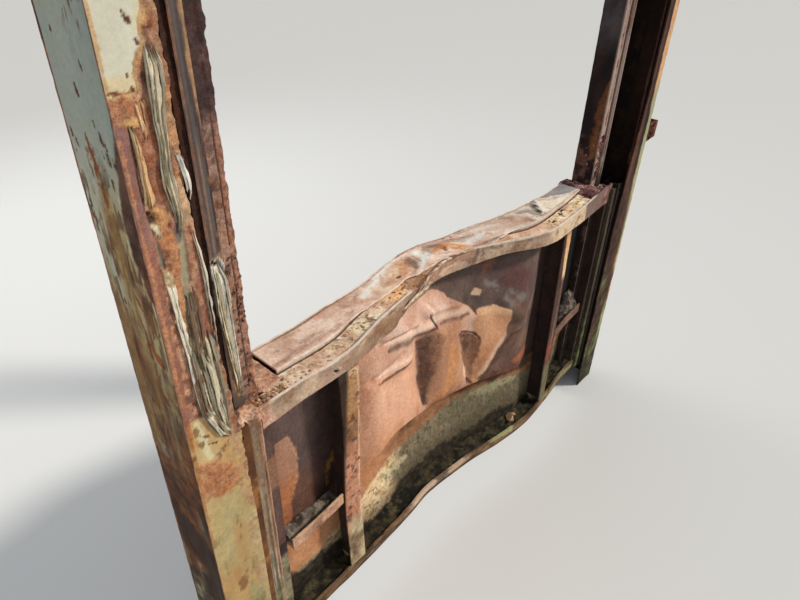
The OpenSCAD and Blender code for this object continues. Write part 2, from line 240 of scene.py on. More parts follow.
def link(name, me, material, body, replaces=None, sharp=50):
    ob = bpy.data.objects.new(name, me)
    bpy.context.scene.collection.objects.link(ob)
    me.polygons.foreach_set("use_smooth", [True] * len(me.polygons))
    me.set_sharp_from_angle(angle=math.radians(sharp))
    me.materials.append(material)
    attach(ob, body)
    if replaces:
        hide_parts(replaces)
    return ob


class Coat:
    """Colour, relief and grit laid over the points of a mesh, in paths of mm."""

    def __init__(self, p, seed):
        self.p, self.seed = p, seed
        self.c = np.zeros_like(p)
        self.g = np.ones(len(p))
        self.h = np.zeros(len(p))
        self.x, self.y, self.z = (p[:, a] * 1000 for a in range(3))

    def n(self, scale, k=0, octaves=4, stretch=(1, 1, 1)):
        return fbm(self.p, scale, octaves, self.seed * 7 + k, stretch)

    def tones(self, tones, scale, k, stretch, gain):
        t = np.array([srgb(*c) for c in tones])
        if len(t) == 1:
            return np.repeat(t, len(self.p), 0)
        f = np.clip(.5 + .5 * gain * self.n(scale, k, 5, stretch), 0, 1) * (len(t) - 1)
        i = np.minimum(f.astype(int), len(t) - 2)
        u = (f - i)[:, None]
        return t[i] * (1 - u) + t[i + 1] * u

    def lay(self, tones, mask=1.0, grit=1.0, height=0.0, scale=22, k=1, stretch=(1, 1, 1), gain=1.3):
        mask = np.clip(mask * np.ones(len(self.p)), 0, 1)
        c = self.tones(tones, scale, k, stretch, gain)
        self.c += (c - self.c) * mask[:, None]
        self.g += (grit - self.g) * mask
        self.h += height * mask

    def patch(self, scale, lo, hi, k=2, stretch=(1, 1, 1), octaves=5):
        return ease((self.n(scale, k, octaves, stretch) - lo) / (hi - lo))

    def near(self, path, width, axes=(0, 2), wobble=.5, scale=26, soft=.3, k=5):
        """1 near a path in mm, 0 away from it; width is one half width or one per point."""
        q = self.p[:, list(axes)] * 1000
        w = np.broadcast_to(np.asarray(width, float), (len(path),))
        best = np.full(len(q), 1e9)
        for i in range(max(1, len(path) - 1)):
            a = np.array(path[i], float)
            b = np.array(path[min(i + 1, len(path) - 1)], float)
            v = b - a
            u = np.clip(((q - a) @ v) / max(v @ v, 1e-9), 0, 1)
            d = np.linalg.norm(q - a - u[:, None] * v, axis=1)
            ww = w[i] + (w[min(i + 1, len(path) - 1)] - w[i]) * u
            best = np.minimum(best, d / np.maximum(ww, .1))
        if wobble:
            best = best + wobble * self.n(scale, k, 4)
        return 1 - ease((best - 1 + soft) / (2 * soft))

    def poly(self, pts, soft=8.0, axes=(0, 2), wobble=0.0, scale=26, k=5):
        """1 inside a polygon in mm, 0 outside it."""
        q = self.p[:, list(axes)] * 1000
        if wobble:
            q = q + wobble * np.column_stack([self.n(scale, k, 4), self.n(scale, k + 50, 4)])
        inside, best = np.zeros(len(q), bool), np.full(len(q), 1e9)
        for a, b in zip(pts, list(pts[1:]) + [pts[0]]):
            a, b = np.array(a, float), np.array(b, float)
            v = b - a
            u = np.clip(((q - a) @ v) / max(v @ v, 1e-9), 0, 1)
            best = np.minimum(best, np.linalg.norm(q - a - u[:, None] * v, axis=1))
            cut = (a[1] > q[:, 1]) != (b[1] > q[:, 1])
            with np.errstate(divide="ignore", invalid="ignore"):
                xs = (b[0] - a[0]) * (q[:, 1] - a[1]) / (b[1] - a[1]) + a[0]
            inside ^= cut & (q[:, 0] < xs)
        return ease(np.where(inside, best, -best) / (2 * soft) + .5)

    def span(self, v, lo, hi, soft=20.0, wobble=0.0, scale=12, k=6):
        """1 where v lies between lo and hi, in mm."""
        if wobble:
            v = v + wobble * self.n(scale, k, 4)
        return ease((v - lo) / soft + .5) * ease((hi - v) / soft + .5)

    def dark(self, mask, k=.5):
        self.c *= (1 - np.clip(mask, 0, 1) * (1 - k))[:, None]


def piece(name, rings, paint, body, replaces=None, sharp=50, seed=1):
    """Closed solid through equal rings, painted and roughened along its normals."""
    m, n = rings.shape[:2]
    v = rings.reshape(-1, 3).copy()
    q = quads_of(m, n)
    caps = [list(range(n))[::-1], list(range((m - 1) * n, m * n))]
    tri = v[q[:, [0, 1, 2]]], v[q[:, [0, 2, 3]]]
    vol = sum(np.einsum("ij,ij->i", t[:, 0], np.cross(t[:, 1], t[:, 2])).sum() for t in tri)
    for c in caps:
        t = v[c]
        vol += sum(np.dot(t[0], np.cross(t[i], t[i + 1])) for i in range(1, len(t) - 1))
    if vol < 0:
        q = q[:, ::-1]
        caps = [c[::-1] for c in caps]
    coat = Coat(v, seed)
    paint(coat)
    v = v + normals(v, q) * coat.h[:, None]
    me = bpy.data.meshes.new(name)
    me.from_pydata(place(v).tolist(), [], q.tolist() + caps)
    me.update()
    store(me, coat)
    return link(name, me, M["coat"], body, replaces, sharp)


def store(me, coat):
    at = me.color_attributes.new("coat", "FLOAT_COLOR", "POINT")
    data = np.hstack([np.clip(coat.c, .004, .9), np.clip(coat.g, 0, 1)[:, None]])
    at.data.foreach_set("color", data.astype(np.float32).ravel())


def rocks(name, spots, paint, body, seed=3):
    """One mesh of rough grains: spots are x, y, z, size and flatness in metres."""
    rng = np.random.default_rng(seed)
    base, faces = ico()
    vs, fs = [], []
    for x, y, z, s, flat in spots:
        p = base * (1 + .32 * rng.standard_normal((len(base), 1)).clip(-1.2, 1.2))
        a = rng.uniform(0, 6.28)
        r = np.array([[math.cos(a), -math.sin(a), 0], [math.sin(a), math.cos(a), 0], [0, 0, 1]])
        p = (p * np.array([1, rng.uniform(.55, .95), flat])) @ r.T * s
        fs.append(faces + sum(len(k) for k in vs))
        vs.append(p + np.array([x, y, z]))
    v, f = np.concatenate(vs), np.concatenate(fs)
    coat = Coat(v, seed)
    paint(coat)
    me = bpy.data.meshes.new(name)
    me.from_pydata(place(v).tolist(), [], f.tolist())
    me.update()
    store(me, coat)
    return link(name, me, M["coat"], body, None, 60)


def ico():
    t = (1 + 5 ** .5) / 2
    v = np.array([[-1, t, 0], [1, t, 0], [-1, -t, 0], [1, -t, 0], [0, -1, t], [0, 1, t], [0, -1, -t],
                  [0, 1, -t], [t, 0, -1], [t, 0, 1], [-t, 0, -1], [-t, 0, 1]], float)
    f = np.array([[0, 11, 5], [0, 5, 1], [0, 1, 7], [0, 7, 10], [0, 10, 11], [1, 5, 9], [5, 11, 4],
                  [11, 10, 2], [10, 7, 6], [7, 1, 8], [3, 9, 4], [3, 4, 2], [3, 2, 6], [3, 6, 8],
                  [3, 8, 9], [4, 9, 5], [2, 4, 11], [6, 2, 10], [8, 6, 7], [9, 8, 1]])
    return v / np.linalg.norm(v[0]), f


def along_path(path, t):
    p = np.array(path, float) / 1000
    d = np.r_[0, np.cumsum(np.linalg.norm(np.diff(p, axis=0), axis=1))]
    return np.column_stack([np.interp(np.asarray(t) * d[-1], d, p[:, k]) for k in range(p.shape[1])])


def sheaf(name, left, right, n, depth, thick, tones, body, seed=1, cuts=(.1, .1), lap=1.3, y0=0.0,
          cell=.006, dark=.35):
    """Loose strips side by side between two edges in mm of x and z, standing off a plane at y0."""
    rng = np.random.default_rng(seed)
    length = np.linalg.norm(np.diff(np.array(left, float) / 1000, axis=0), axis=1).sum()
    m = max(8, int(length / cell))
    v, faces, col, grit = [], [], [], []
    for i in range(n):
        t = np.linspace(rng.uniform(0, cuts[0]), 1 - rng.uniform(0, cuts[1]), m)
        a, b = along_path(left, t), along_path(right, t)
        u = np.linspace(0, 1, m)
        q = np.column_stack([t * length, np.full(m, seed * 3.1 + i), np.zeros(m)])
        s = i / n + .35 / n * fbm(q, 9, 3, seed)
        w = (lap / n) * (.75 + .5 * fbm(q, 22, 3, seed + 1)) * ease(u * 7) ** .5 * ease((1 - u) * 7) ** .5
        y = y0 - .0005 - (depth * rng.uniform(.35, 1) * ease(u * 5) * ease((1 - u) * 4 + .12)
                           + .0012 * fbm(q, 50, 3, seed + 2) + .001)
        tilt = rng.uniform(-.003, .003)
        rows = []
        for f, dy in ((0, thick), (0, 0), (.33, -.0012), (.66, .0006), (1, 0), (1, thick)):
            sk = (s + w * f)[:, None]
            p = a * (1 - sk) + b * sk
            yy = np.minimum(y + dy + tilt * (f - .5), y0)
            rows.append(np.column_stack([p[:, 0], yy, p[:, 1]]))
        ring = np.stack(rows, 1)
        base = sum(len(x) for x in v)
        v.append(ring.reshape(-1, 3))
        qd = quads_of(m, 6)
        cap = [list(range(6)), list(range((m - 1) * 6, m * 6))[::-1]]
        x = v[-1]
        vol = sum(np.einsum("ij,ij->i", x[qd[:, 0]],
                            np.cross(x[qd[:, p]], x[qd[:, p + 1]])).sum() for p in (1, 2))
        if vol < 0:
            qd = qd[:, ::-1]
        else:
            cap = [c[::-1] for c in cap]
        faces += (qd + base).tolist() + [[int(e) + base for e in c] for c in cap]
        tone = np.array(srgb(*tones[rng.integers(len(tones))]))
        streak = 1 + dark * fbm(ring.reshape(-1, 3), 70, 4, seed + i, (1, 1, .07)) * 1.6
        shade = np.tile([.55, 1.12, .92, .86, 1.1, .55], m)
        col.append(tone[None] * np.clip(streak * shade, .25, 1.5)[:, None])
        grit.append(np.full(m * 6, .35))
    v = np.concatenate(v)
    me = bpy.data.meshes.new(name)
    me.from_pydata(place(v).tolist(), [], faces)
    me.update()
    coat = Coat(v, seed)
    coat.c, coat.g = np.concatenate(col), np.concatenate(grit)
    store(me, coat)
    return link(name, me, M["coat"], body, None, 50)


def slab(name, xs, ys, top, low, paint, body, seed=1):
    """Closed sheet over a grid; top(x, y) gives its height and low the height of its underside."""
    rings = []
    for x in xs:
        y = np.asarray(ys(x) if callable(ys) else ys, float)
        z = np.maximum(top(np.full(len(y), x), y), low + .0006)
        rings.append(np.concatenate([np.column_stack([np.full(len(y), x), y, z]),
                                     np.column_stack([np.full(len(y), x), y, np.full(len(y), low)])[::-1]]))
    return piece(name, np.array(rings), paint, body, None, 60, seed)


class Nodes:
    """Short hand for building a node material."""

    def __init__(self, name):
        self.m = bpy.data.materials.new(name)
        self.m.use_nodes = True
        self.t = self.m.node_tree
        self.t.nodes.clear()
        self.coord = self.t.nodes.new("ShaderNodeTexCoord").outputs["Object"]

    def put(self, sock, v):
        if isinstance(v, bpy.types.NodeSocket):
            self.t.links.new(v, sock)
        elif isinstance(v, (tuple, list)) and len(v) == 3 and sock.type == "RGBA":
            sock.default_value = (*v, 1)
        else:
            sock.default_value = v

    def math(self, op, a, b=None, c=None):
        n = self.t.nodes.new("ShaderNodeMath")
        n.operation = op
        for s, v in zip(n.inputs, (a, b, c)):
            if v is not None:
                self.put(s, v)
        return n.outputs[0]

    def noise(self, scale, detail=5, rough=.6, stretch=(1, 1, 1), shift=(0, 0, 0)):
        v = self.t.nodes.new("ShaderNodeMapping")
        self.put(v.inputs[0], self.coord)
        v.inputs["Location"].default_value = shift
        v.inputs["Scale"].default_value = stretch
        n = self.t.nodes.new("ShaderNodeTexNoise")
        self.put(n.inputs["Vector"], v.outputs[0])
        n.inputs["Scale"].default_value = scale
        n.inputs["Detail"].default_value = detail
        n.inputs["Roughness"].default_value = rough
        return n.outputs[0]

    def band(self, v, lo, hi, a=0.0, b=1.0):
        n = self.t.nodes.new("ShaderNodeMapRange")
        n.interpolation_type = "SMOOTHSTEP"
        self.put(n.inputs["Value"], v)
        n.inputs["From Min"].default_value = lo
        n.inputs["From Max"].default_value = hi
        n.inputs["To Min"].default_value = a
        n.inputs["To Max"].default_value = b
        return n.outputs["Result"]

    def mix(self, f, a, b, blend="MIX"):
        n = self.t.nodes.new("ShaderNodeMix")
        n.data_type = "RGBA"
        n.blend_type = blend
        self.put(n.inputs[0], f)
        self.put(n.inputs[6], a)
        self.put(n.inputs[7], b)
        return n.outputs[2]

    def scaled(self, col, v):
        n = self.t.nodes.new("ShaderNodeVectorMath")
        n.operation = "SCALE"
        self.put(n.inputs[0], col)
        self.put(n.inputs["Scale"], v)
        return n.outputs[0]

    def ramp(self, f, stops):
        n = self.t.nodes.new("ShaderNodeValToRGB")
        r = n.color_ramp
        while len(r.elements) < len(stops):
            r.elements.new(.5)
        for e, (p, c) in zip(r.elements, stops):
            e.position = p
            e.color = (*c, 1)
        self.put(n.inputs[0], f)
        return n.outputs[0]

    def done(self, color, rough, height, depth, spec=.2):
        b = self.t.nodes.new("ShaderNodeBsdfPrincipled")
        o = self.t.nodes.new("ShaderNodeOutputMaterial")
        n = self.t.nodes.new("ShaderNodeBump")
        self.put(b.inputs["Base Color"], color)
        self.put(b.inputs["Roughness"], rough)
        b.inputs["Specular IOR Level"].default_value = spec
        n.inputs["Strength"].default_value = 1.0
        n.inputs["Distance"].default_value = depth
        self.put(n.inputs["Height"], height)
        self.t.links.new(n.outputs[0], b.inputs["Normal"])
        self.t.links.new(b.outputs[0], o.inputs[0])
        return self.m


def srgb(r, g, b):
    """Linear colour from display values of 0 to 255."""
    return tuple(((c / 255) / 12.92 if c / 255 <= .04045 else ((c / 255 + .055) / 1.055) ** 2.4)
                 for c in (r, g, b))


def coat_material():
    """Fine grain, pits, scale and bump over the colour that the mesh carries."""
    g = Nodes("weathered_steel")
    a = g.t.nodes.new("ShaderNodeAttribute")
    a.attribute_name = "coat"
    col, grit = a.outputs["Color"], a.outputs["Alpha"]
    n1 = g.noise(75, 7, .72)
    n2 = g.noise(210, 4, .65, shift=(3, 1, 7))
    n3 = g.noise(22, 4, .6, shift=(9, 2, 4))
    n4 = g.noise(36, 6, .7, shift=(1, 8, 2))
    swing = g.math("ADD", g.math("MULTIPLY", g.math("SUBTRACT", n1, .5), 1.9),
                   g.math("MULTIPLY", g.math("SUBTRACT", n2, .5), 1.5))
    swing = g.math("ADD", swing, g.math("MULTIPLY", g.math("SUBTRACT", n4, .5), 1.1))
    v = g.math("ADD", g.math("MULTIPLY", swing, g.math("MULTIPLY_ADD", grit, .95, .14)), 1.0)
    col = g.scaled(col, g.math("MAXIMUM", v, .18))
    warm = g.math("MULTIPLY", g.band(n3, .48, .66), g.math("MULTIPLY", grit, .6))
    col = g.mix(warm, col, (1.0, .76, .54), "MULTIPLY")
    dark = g.math("MULTIPLY", g.band(n4, .53, .64), g.math("MULTIPLY", grit, .6))
    col = g.mix(dark, col, (.52, .40, .36), "MULTIPLY")
    pits = g.math("MULTIPLY", g.band(n2, .53, .64), g.math("MULTIPLY", grit, .75))
    col = g.mix(pits, col, (.30, .22, .20), "MULTIPLY")
    h = g.math("MULTIPLY", g.math("ADD", g.math("MULTIPLY", n1, .6),
                                  g.math("MULTIPLY_ADD", n2, .25, g.math("MULTIPLY", n4, .35))),
               g.math("MULTIPLY_ADD", grit, 1.0, .12))
    return g.done(col, g.band(n1, .3, .8, .74, .98), h, .0075)


def rust_material(name, dark, mid, light, grain=60, spots=None, streak=False):
    """Rust in three tones with flakes, specks and pits, for the frame's own nodes."""
    g = Nodes(name)
    st = (1, 1, .25) if streak else (1, 1, 1)
    f = g.math("ADD", g.math("MULTIPLY", g.noise(3.2, 5, .6, st), .6),
               g.math("MULTIPLY", g.noise(14, 6, .65, st, (3, 1, 7)), .4))
    tiny = g.noise(grain * 4, 3, .6)
    col = g.ramp(f, [(.36, dark), (.5, mid), (.64, light)])
    col = g.mix(g.math("MULTIPLY", g.band(tiny, .52, .66), .35), col, tuple(c * .45 for c in dark))
    if spots:
        col = g.mix(g.band(g.noise(6.5, 5, .7, shift=(9, 2, 4)), .56, .66, 0, .8), col, spots)
    h = g.math("ADD", g.math("MULTIPLY", g.noise(grain, 6, .7), .7), g.math("MULTIPLY", tiny, .3))
    return g.done(col, g.band(tiny, .2, .9, .7, .98), h, .004)


M = {"coat": coat_material()}
M["dark"] = rust_material("dark_rust", srgb(58, 34, 30), srgb(96, 56, 44), srgb(140, 84, 60), 70,
                          srgb(150, 92, 52))
M["orange"] = rust_material("orange_rust", srgb(66, 40, 26), srgb(104, 66, 38), srgb(142, 94, 58), 60,
                            srgb(160, 110, 62))
M["shade"] = rust_material("shaded_rust", srgb(16, 11, 9), srgb(28, 19, 16), srgb(44, 30, 25), 60)
for part in frame["record"]["subparts"]:
    node = frame["nodes"].get(part["node"])
    if node is not None:
        node.data.materials.clear()
        tongue = "tongue" in part["node"]
        node.data.materials.append(M["shade" if tongue and "right" in part["node"] else "orange" if tongue
                                     else "dark"])

# Palette
# Grey paint, its tones darkened with painted shade
SHADED_PAINT = [(118, 122, 108), (148, 150, 132), (176, 174, 152)]
RED = [(100, 66, 54), (146, 104, 84), (182, 136, 110)]
ORANGE = [(150, 88, 48), (196, 126, 76), (222, 166, 112)]
BROWN = [(58, 34, 24), (92, 56, 36), (128, 80, 50)]
DARK = [(34, 22, 18), (56, 36, 28), (82, 52, 40)]
WHITE = [(190, 184, 166), (222, 216, 200), (240, 236, 224)]
OCHRE = [(150, 112, 62), (190, 152, 92), (208, 184, 136)]
SLIME = [(92, 90, 66), (150, 146, 112), (190, 184, 146)]
MOSS = [(56, 62, 36), (92, 98, 58), (132, 136, 92)]
MUD = [(24, 20, 14), (46, 38, 28), (74, 62, 46)]


# Posts
def heights(top, fine, coarse):
    """Stations up a post, close together in the stretch near the camera."""
    return np.concatenate([np.arange(0, SEEN_LOW, coarse), np.arange(SEEN_LOW, SEEN_HIGH, fine),
                           np.arange(SEEN_HIGH, top, coarse), [top]])


ZL = heights(POST_H, .0045, .011)
ZR = np.linspace(0, POST_H, 330)


def box(x0, x1, y0, y1):
    return lambda z: [(x0, y0), (x0, y1), (x1, y1), (x1, y0)]


WEB = box(-HALF, -HALF + PLATE, PLATE, POST_D - PLATE)
WEAR_STRIP = box(-1.309, -1.267, .127, GUIDE_Y)
LINER = box(-1.535, -1.521, .056, .136)


def mirror(rings):
    out = rings.copy()
    out[:, :, 0] *= -1
    return out


def both_sides(stem, rings, paint, body, node, seed):
    """One piece over a node of the left side and its mirror image over that of the right side."""
    piece(stem + "_left", rings, paint, body, "left_" + node, seed=seed)
    piece(stem + "_right", mirror(rings), paint, body, "right_" + node, seed=seed + 1)


def wet_foot(c, top=700):
    """Damp, mossy lower end of a post."""
    c.lay(MOSS, c.span(c.z, -500, top, 500, 120) * c.patch(14, -.3, .5, 40, (1, 1, .2)) * .75, .7)
    c.lay(MUD, c.span(c.z, -500, 260, 260, 80) * .85, .7)


def left_web(c):
    c.lay(RED, scale=16, stretch=(1, 1, .4))
    c.lay(BROWN, c.patch(8, 0, .5, 3, (1, 1, .3)) * .8)
    out = ease((-1540 - c.x) / 1.0 + .5)
    keep = c.c.copy(), c.g.copy()
    yz = (1, 2)
    # Outer face: grey paint, darkened with painted shade
    c.lay(SHADED_PAINT, 1, .12, scale=5, stretch=(1, 1, .16), gain=1.6)
    c.lay([(176, 158, 116), (186, 168, 128)], c.patch(9, -.1, .7, 7, (1, 1, .07)) * .6, .2)
    c.lay([(168, 146, 98), (180, 160, 112)], c.span(c.z, 1750, 2420, 300, 120)
          * c.patch(6, -.5, .4, 8, (1, 1, .12)) * .8, .25)
    c.lay([(176, 146, 96), (190, 162, 116)], c.near([[133, 2400], [138, 2332], [146, 2251], [150, 2150]],
                                                    [22, 30, 30, 10], yz) * .8, .25)
    c.lay([(112, 132, 136), (136, 152, 152)], c.span(c.z, 2480, 3600, 260) * .45, .15, scale=6,
          stretch=(1, 1, .1))
    # Rust runs
    c.lay([(124, 62, 34), (160, 90, 50)],
          c.near([[152, 2540], [145, 2495], [135, 2457], [127, 2414], [131, 2370]], [3, 8, 12, 12, 5], yz,
                 .9, 44), .9, .0012)
    c.lay([(138, 76, 40)], c.near([[140, 2500], [132, 2430], [134, 2380]], [20, 24, 10], yz, 1.0, 60)
          * c.patch(44, 0, .5, 21) * .8, .8)
    c.lay([(140, 78, 42)], c.near([[255, 2329], [233, 2313], [217, 2303]], [5, 8, 4], yz, .9, 40), .8, .001)
    c.lay([(150, 82, 42), (176, 104, 58)],
          c.near([[104, 2018], [97, 1964], [63, 1943], [37, 1918]], [3, 12, 14, 5], yz, .9, 30), .9, .001)
    c.lay([(146, 80, 42)], c.near([[116, 2129], [99, 2111], [89, 2090]], [3, 8, 5], yz, .9, 40), .8)
    c.lay([(150, 84, 44)], c.near([[246, 2000], [236, 1974], [222, 1950]], [5, 12, 6], yz, .9, 30), .9)
    c.lay([(140, 76, 40)], c.near([[228, 2090], [205, 1930], [186, 1860]], [3, 10, 4], yz, .9, 30), .8)
    for y, z, r in [(226, 2530, 7), (212, 2506, 5), (80, 2547, 10), (96, 2577, 5), (65, 2532, 7),
                    (64, 2503, 9), (45, 2499, 7), (88, 2507, 5), (107, 2277, 6), (164, 2235, 7),
                    (228, 2350, 7), (232, 2330, 5), (226, 2478, 5), (125, 2281, 6), (202, 2223, 6),
                    (180, 2079, 7), (96, 2180, 6), (74, 2440, 8), (140, 2640, 8), (90, 2700, 7),
                    (190, 2760, 6), (120, 3000, 9), (60, 3120, 12), (180, 3240, 10), (60, 2020, 7),
                    (120, 1880, 8), (160, 1800, 9), (80, 1780, 10)]:
        c.lay([(92, 56, 38)], c.near([[y, z + r * 1.3], [y - r * .4, z - r * 1.3]], r * .5, yz, .9, 60), .7)
    c.lay([(112, 74, 46)], c.patch(64, .5, .72, 11, (1, 1, .3), 3) * c.patch(6, -.35, .3, 12) * .85, .6)
    # Peeled strip at the downstream edge
    peel = c.poly([[-20, 2640], [4, 2616], [18, 2562], [42, 2486], [46, 2445], [60, 2391], [70, 2341],
                   [66, 2299], [66, 2256], [45, 2210], [31, 2164], [14, 2139], [3, 2069], [-20, 2060]], 2.5,
                  yz, 5, 30)
    rim = c.poly([[-20, 2650], [8, 2622], [24, 2562], [49, 2486], [53, 2445], [67, 2391], [77, 2341],
                  [73, 2299], [72, 2242], [51, 2200], [37, 2154], [20, 2129], [9, 2050], [-20, 2040]], 2.5,
                 yz, 5, 30)
    c.lay([(206, 194, 160)], rim * (1 - peel) * c.patch(20, -.3, .3, 23) * .9, .3, .001)
    c.lay([(64, 42, 32), (88, 62, 50), (112, 80, 66)], peel, .9, -.0022, 24)
    c.lay([(110, 66, 44), (146, 92, 60)], c.near([[4, 2069], [2, 1900], [2, 1760], [4, 1500]], [5, 6, 7, 7],
                                                 yz, .8, 30) * .9, .9)
    # Brown lower part
    c.lay([(104, 62, 34), (132, 84, 48)], c.span(c.y, 130, 300, 110, 60) * c.span(c.z, 900, 2000, 260, 120)
          * c.patch(8, -.5, .3, 14, (1, 1, .2)), .8)
    c.lay([(86, 52, 30), (112, 70, 40), (136, 92, 54)], c.patch(9, -.5, .2, 15, (1, 1, .16))
          * c.span(c.z, 200, 1830, 300, 160), .9, .0008)
    c.lay([(98, 56, 30), (130, 78, 44)], c.patch(20, .05, .4, 31, (1, 1, .2))
          * c.span(c.z, 1200, 2300, 200, 160) * .85, .9)
    c.lay([(84, 52, 36)], c.patch(70, .3, .5, 32, (1, 1, .25), 3) * c.span(c.z, 1500, 2500, 100, 80) * .7, .8)
    c.lay([(150, 120, 72), (170, 142, 92)], c.patch(12, .0, .5, 33, (1, 1, .12))
          * c.span(c.z, 1500, 2400, 200, 100) * .5, .4)
    c.lay([(120, 112, 70), (146, 134, 88)], c.patch(10, -.1, .5, 16, (1, 1, .15))
          * c.span(c.z, 900, 1760, 300, 120) * .6, .4)
    c.lay([(52, 36, 32)], c.span(c.z, 500, 1450, 160, 110) * c.patch(9, -.6, .2, 17) * .85, .9)
    c.lay([(176, 168, 148), (130, 120, 104)], c.near([[200, 1540], [180, 1490]], [10, 20], yz, 1, 24) * .6,
          .5, scale=50)
    c.lay([(170, 140, 104)], c.near([[6, 3400], [6, 2660]], 4, yz, .8) * .7, .5)
    c.c[:] = keep[0] + (c.c - keep[0]) * out[:, None]
    c.g[:] = keep[1] + (c.g - keep[1]) * out
    wet_foot(c)


piece("post_web_left", rings_along("z", WEB, ZL, [.0045, .01, .02, .01]), left_web, "frame",
      "left_post_web", seed=2)


def right_web(c):
    c.lay(BROWN, scale=12, stretch=(1, 1, .3))
    c.lay(RED, c.patch(9, .1, .6, 3, (1, 1, .25)) * .6)
    c.lay(DARK, c.patch(7, .0, .6, 4, (1, 1, .3)) * .7)
    # Near black over the inner face: painted shade
    c.lay([(20, 12, 8), (32, 20, 13), (46, 30, 20)], 1, .8)
    outer = ease((c.x - 1542) / 1.0 + .5)
    k = c.c.copy()
    g = c.g.copy()
    c.lay(SHADED_PAINT, 1, .12, scale=5, stretch=(1, 1, .16), gain=1.6)
    c.lay(OCHRE, c.patch(8, .0, .7, 7, (1, 1, .08)) * .6, .2)
    c.lay(BROWN, c.patch(6, .25, .5, 9, (1, 1, .3)), .9, .001)
    c.c[:] = k + (c.c - k) * outer[:, None]
    c.g[:] = g + (c.g - g) * outer
    wet_foot(c, 900)


piece("post_web_right", mirror(rings_along("z", WEB, ZR, [.012, .01, .012, .01])), right_web, "frame",
      "right_post_web", seed=5)


def eaten(loss, seed):
    """Section of a front flange whose inner edge is eaten back."""
    def corners(z):
        j = fbm(np.array([[.3, .1, z]]), 22, 5, seed)[0]
        k = fbm(np.array([[.3, .1, z]]), 90, 3, seed + 3)[0]
        w = ease((z - 1.3) / .9)
        e = -HALF + FLANGE - loss * w - (.004 + .005 * j + .002 * k) * ease((z - 1.1) / .3)
        return [(-HALF, PLATE), (-HALF, 0), (e, 0), (e - .002, PLATE)]
    return corners


